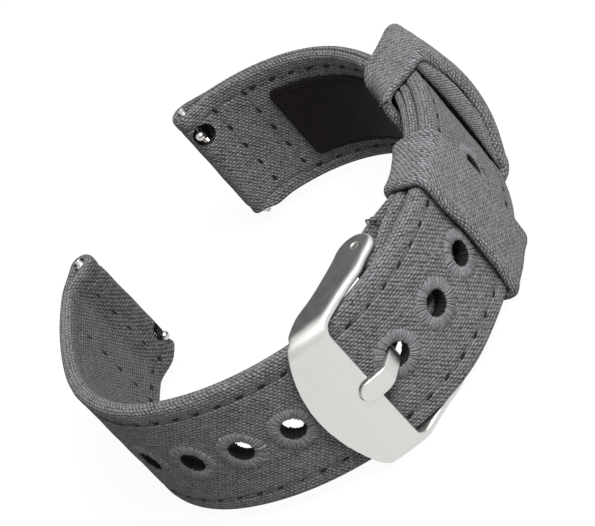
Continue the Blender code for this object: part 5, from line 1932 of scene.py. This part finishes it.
@dataclass
class Studio:
    """Pale floor, soft lamps and the photograph's camera."""

    eye: tuple[float, float, float] = (306.299, 218.522, 243.347)
    right: tuple[float, float, float] = (-0.1424754, 0.8079717, -0.5717364)
    down: tuple[float, float, float] = (0.7047978, -0.3227483, -0.6317385)
    forward: tuple[float, float, float] = (-0.6949538, -0.4929658, -0.5234730)
    focal_pixels: float = 3163.3
    frame_width: float = 595.0
    sensor: float = 36.0
    floor_grey: float = 0.40
    floor_glow: float = 1.12
    camera_share: float = 0.85
    glossy_share: float = 0.86
    flag_way: tuple[float, float, float] = (-0.60, -0.50, 0.63)
    flag_distance: float = 0.5
    lamp_way: tuple[float, float, float] = (0.19, 0.54, 0.83)
    lamp_distance: float = 0.9
    lamp_size: float = 0.45
    lamp_power: float = 10.6
    ambient: float = 0.30

    def camera(self) -> None:
        """Places the camera at the photograph's angle."""
        data = bpy.data.cameras.new("view")
        data.sensor_width = self.sensor
        data.lens = self.focal_pixels * self.sensor / self.frame_width
        data.clip_start, data.clip_end = 0.01, 10.0
        holder = bpy.data.objects.new("view", data)
        right, down, forward = (Vector(v) for v in (self.right, self.down, self.forward))
        turn = Matrix((right, -down, -forward)).transposed().to_4x4()
        holder.matrix_world = Matrix.Translation(Vector(self.eye) * MM) @ turn
        bpy.context.scene.collection.objects.link(holder)
        bpy.context.scene.camera = holder

    @staticmethod
    def card(name: str, half: float, material: bpy.types.Material) -> bpy.types.Object:
        """Adds a flat square of half a side's length, in metres."""
        mesh = bpy.data.meshes.new(name)
        with reshaped(mesh) as shape:
            bmesh.ops.create_grid(shape, x_segments=1, y_segments=1, size=half)
        return add_object(name, mesh, material)

    @staticmethod
    def aim(thing: bpy.types.Object, towards: Sequence[float], distance: float) -> None:
        """Puts a thing off from the strap in one direction, facing it."""
        way = Vector(towards).normalized()
        thing.location = way * distance
        thing.rotation_mode = "QUATERNION"
        thing.rotation_quaternion = way.to_track_quat("Z", "Y")

    def floor(self) -> None:
        """Lays the white floor that keeps the strap's shadow."""
        shader = Shader("floor_white", roughness=1.0)
        shader.dress({"Base Color": (*(self.floor_grey,) * 3, 1.0), "Specular IOR Level": 0.0})
        rays = shader.node("ShaderNodeLightPath").outputs
        seen = shader.math("MULTIPLY", rays["Is Camera Ray"], self.camera_share)
        seen = shader.math("MAXIMUM", seen, shader.math("MULTIPLY", rays["Is Glossy Ray"], self.glossy_share))
        glow = shader.out("ShaderNodeEmission", {"Strength": self.floor_glow})
        mix = shader.out("ShaderNodeMixShader", {0: seen, 1: shader.surface.outputs[0], 2: glow})
        shader.feed(shader.tree.nodes["Material Output"].inputs["Surface"], mix)
        piece = self.card("studio_floor", 3.0, shader.material)
        piece.location.z = -0.0002

    def flag(self) -> None:
        """Hangs the dark card that the upright steel faces reflect."""
        shader = Shader("flag_grey", roughness=1.0)
        piece = self.card("studio_flag", 0.26, shader.dress({"Base Color": (0.05, 0.05, 0.05, 1.0)}))
        self.aim(piece, self.flag_way, self.flag_distance)
        piece.visible_camera = False
        piece.visible_diffuse = False
        piece.visible_shadow = False

    def lamp(self) -> None:
        """Adds the square lamp that looks at the strap."""
        data = bpy.data.lights.new("key", "AREA")
        data.shape = "SQUARE"
        data.size = self.lamp_size
        data.energy = self.lamp_power
        holder = bpy.data.objects.new("key", data)
        self.aim(holder, self.lamp_way, self.lamp_distance)
        bpy.context.scene.collection.objects.link(holder)

    def world(self) -> None:
        """White background with a plain ambient light."""
        world = bpy.data.worlds.new("studio")
        bpy.context.scene.world = world
        world.use_nodes = True
        world.node_tree.nodes.clear()
        tree = NodeTree(world.node_tree)
        rays = tree.node("ShaderNodeLightPath").outputs
        seen = tree.math("MAXIMUM", rays["Is Camera Ray"], rays["Is Glossy Ray"])
        seen = tree.math("MAXIMUM", seen, rays["Is Transmission Ray"])
        ambient = tree.out("ShaderNodeBackground", {"Strength": self.ambient})
        white = tree.out("ShaderNodeBackground", {"Strength": 1.0})
        mix = tree.out("ShaderNodeMixShader", {0: seen, 1: ambient, 2: white})
        tree.node("ShaderNodeOutputWorld", {0: mix})

    def build(self) -> None:
        """Sets up camera, floor, flag, lamp and colour."""
        self.camera()
        self.floor()
        self.flag()
        self.world()
        self.lamp()
        bpy.context.scene.view_settings.view_transform = "Standard"
        LOG.info("studio ready")


def main() -> None:
    """Builds every piece in order."""
    logging.basicConfig(level=logging.INFO, format="%(message)s")
    finishes = Finishes.make()
    sewing = Sewing(stitch_graph())
    Studio().build()
    LongStrap(finishes, sewing).build()
    ShortStrap(finishes, sewing).build()
    LeatherPatch(finishes, sewing).build()
    Eyelets(finishes, buttonhole_graph()).build()
    Keeper(finishes, "fixed_keeper_cloth", "fixed_keeper", "strap", 101.0, 10.0,
           -2.50, 2.47, 0.50, seed=5).build()
    Keeper(finishes, "loose_keeper_cloth", "floating_keeper", "loose_keeper", 125.0, 11.0,
           -3.15, 3.70, 1.95, tilt=0.75, slant=3.7, corner=2.0, hem=0.7, lining=2.47, seed=9).build()
    Buckle(finishes).build()
    Tang(finishes).build()
    ThreadEnds(finishes, "thread_ends_fold", "strap", (91.4, -4.0, 11.0), 0.8, 21).build()
    ThreadEnds(finishes, "thread_ends_keeper", "loose_keeper", (118.0, -3.7, 11.4), 0.8, 22).build()
    SpringBars(finishes).build()


if __name__ == "__main__":
    main()
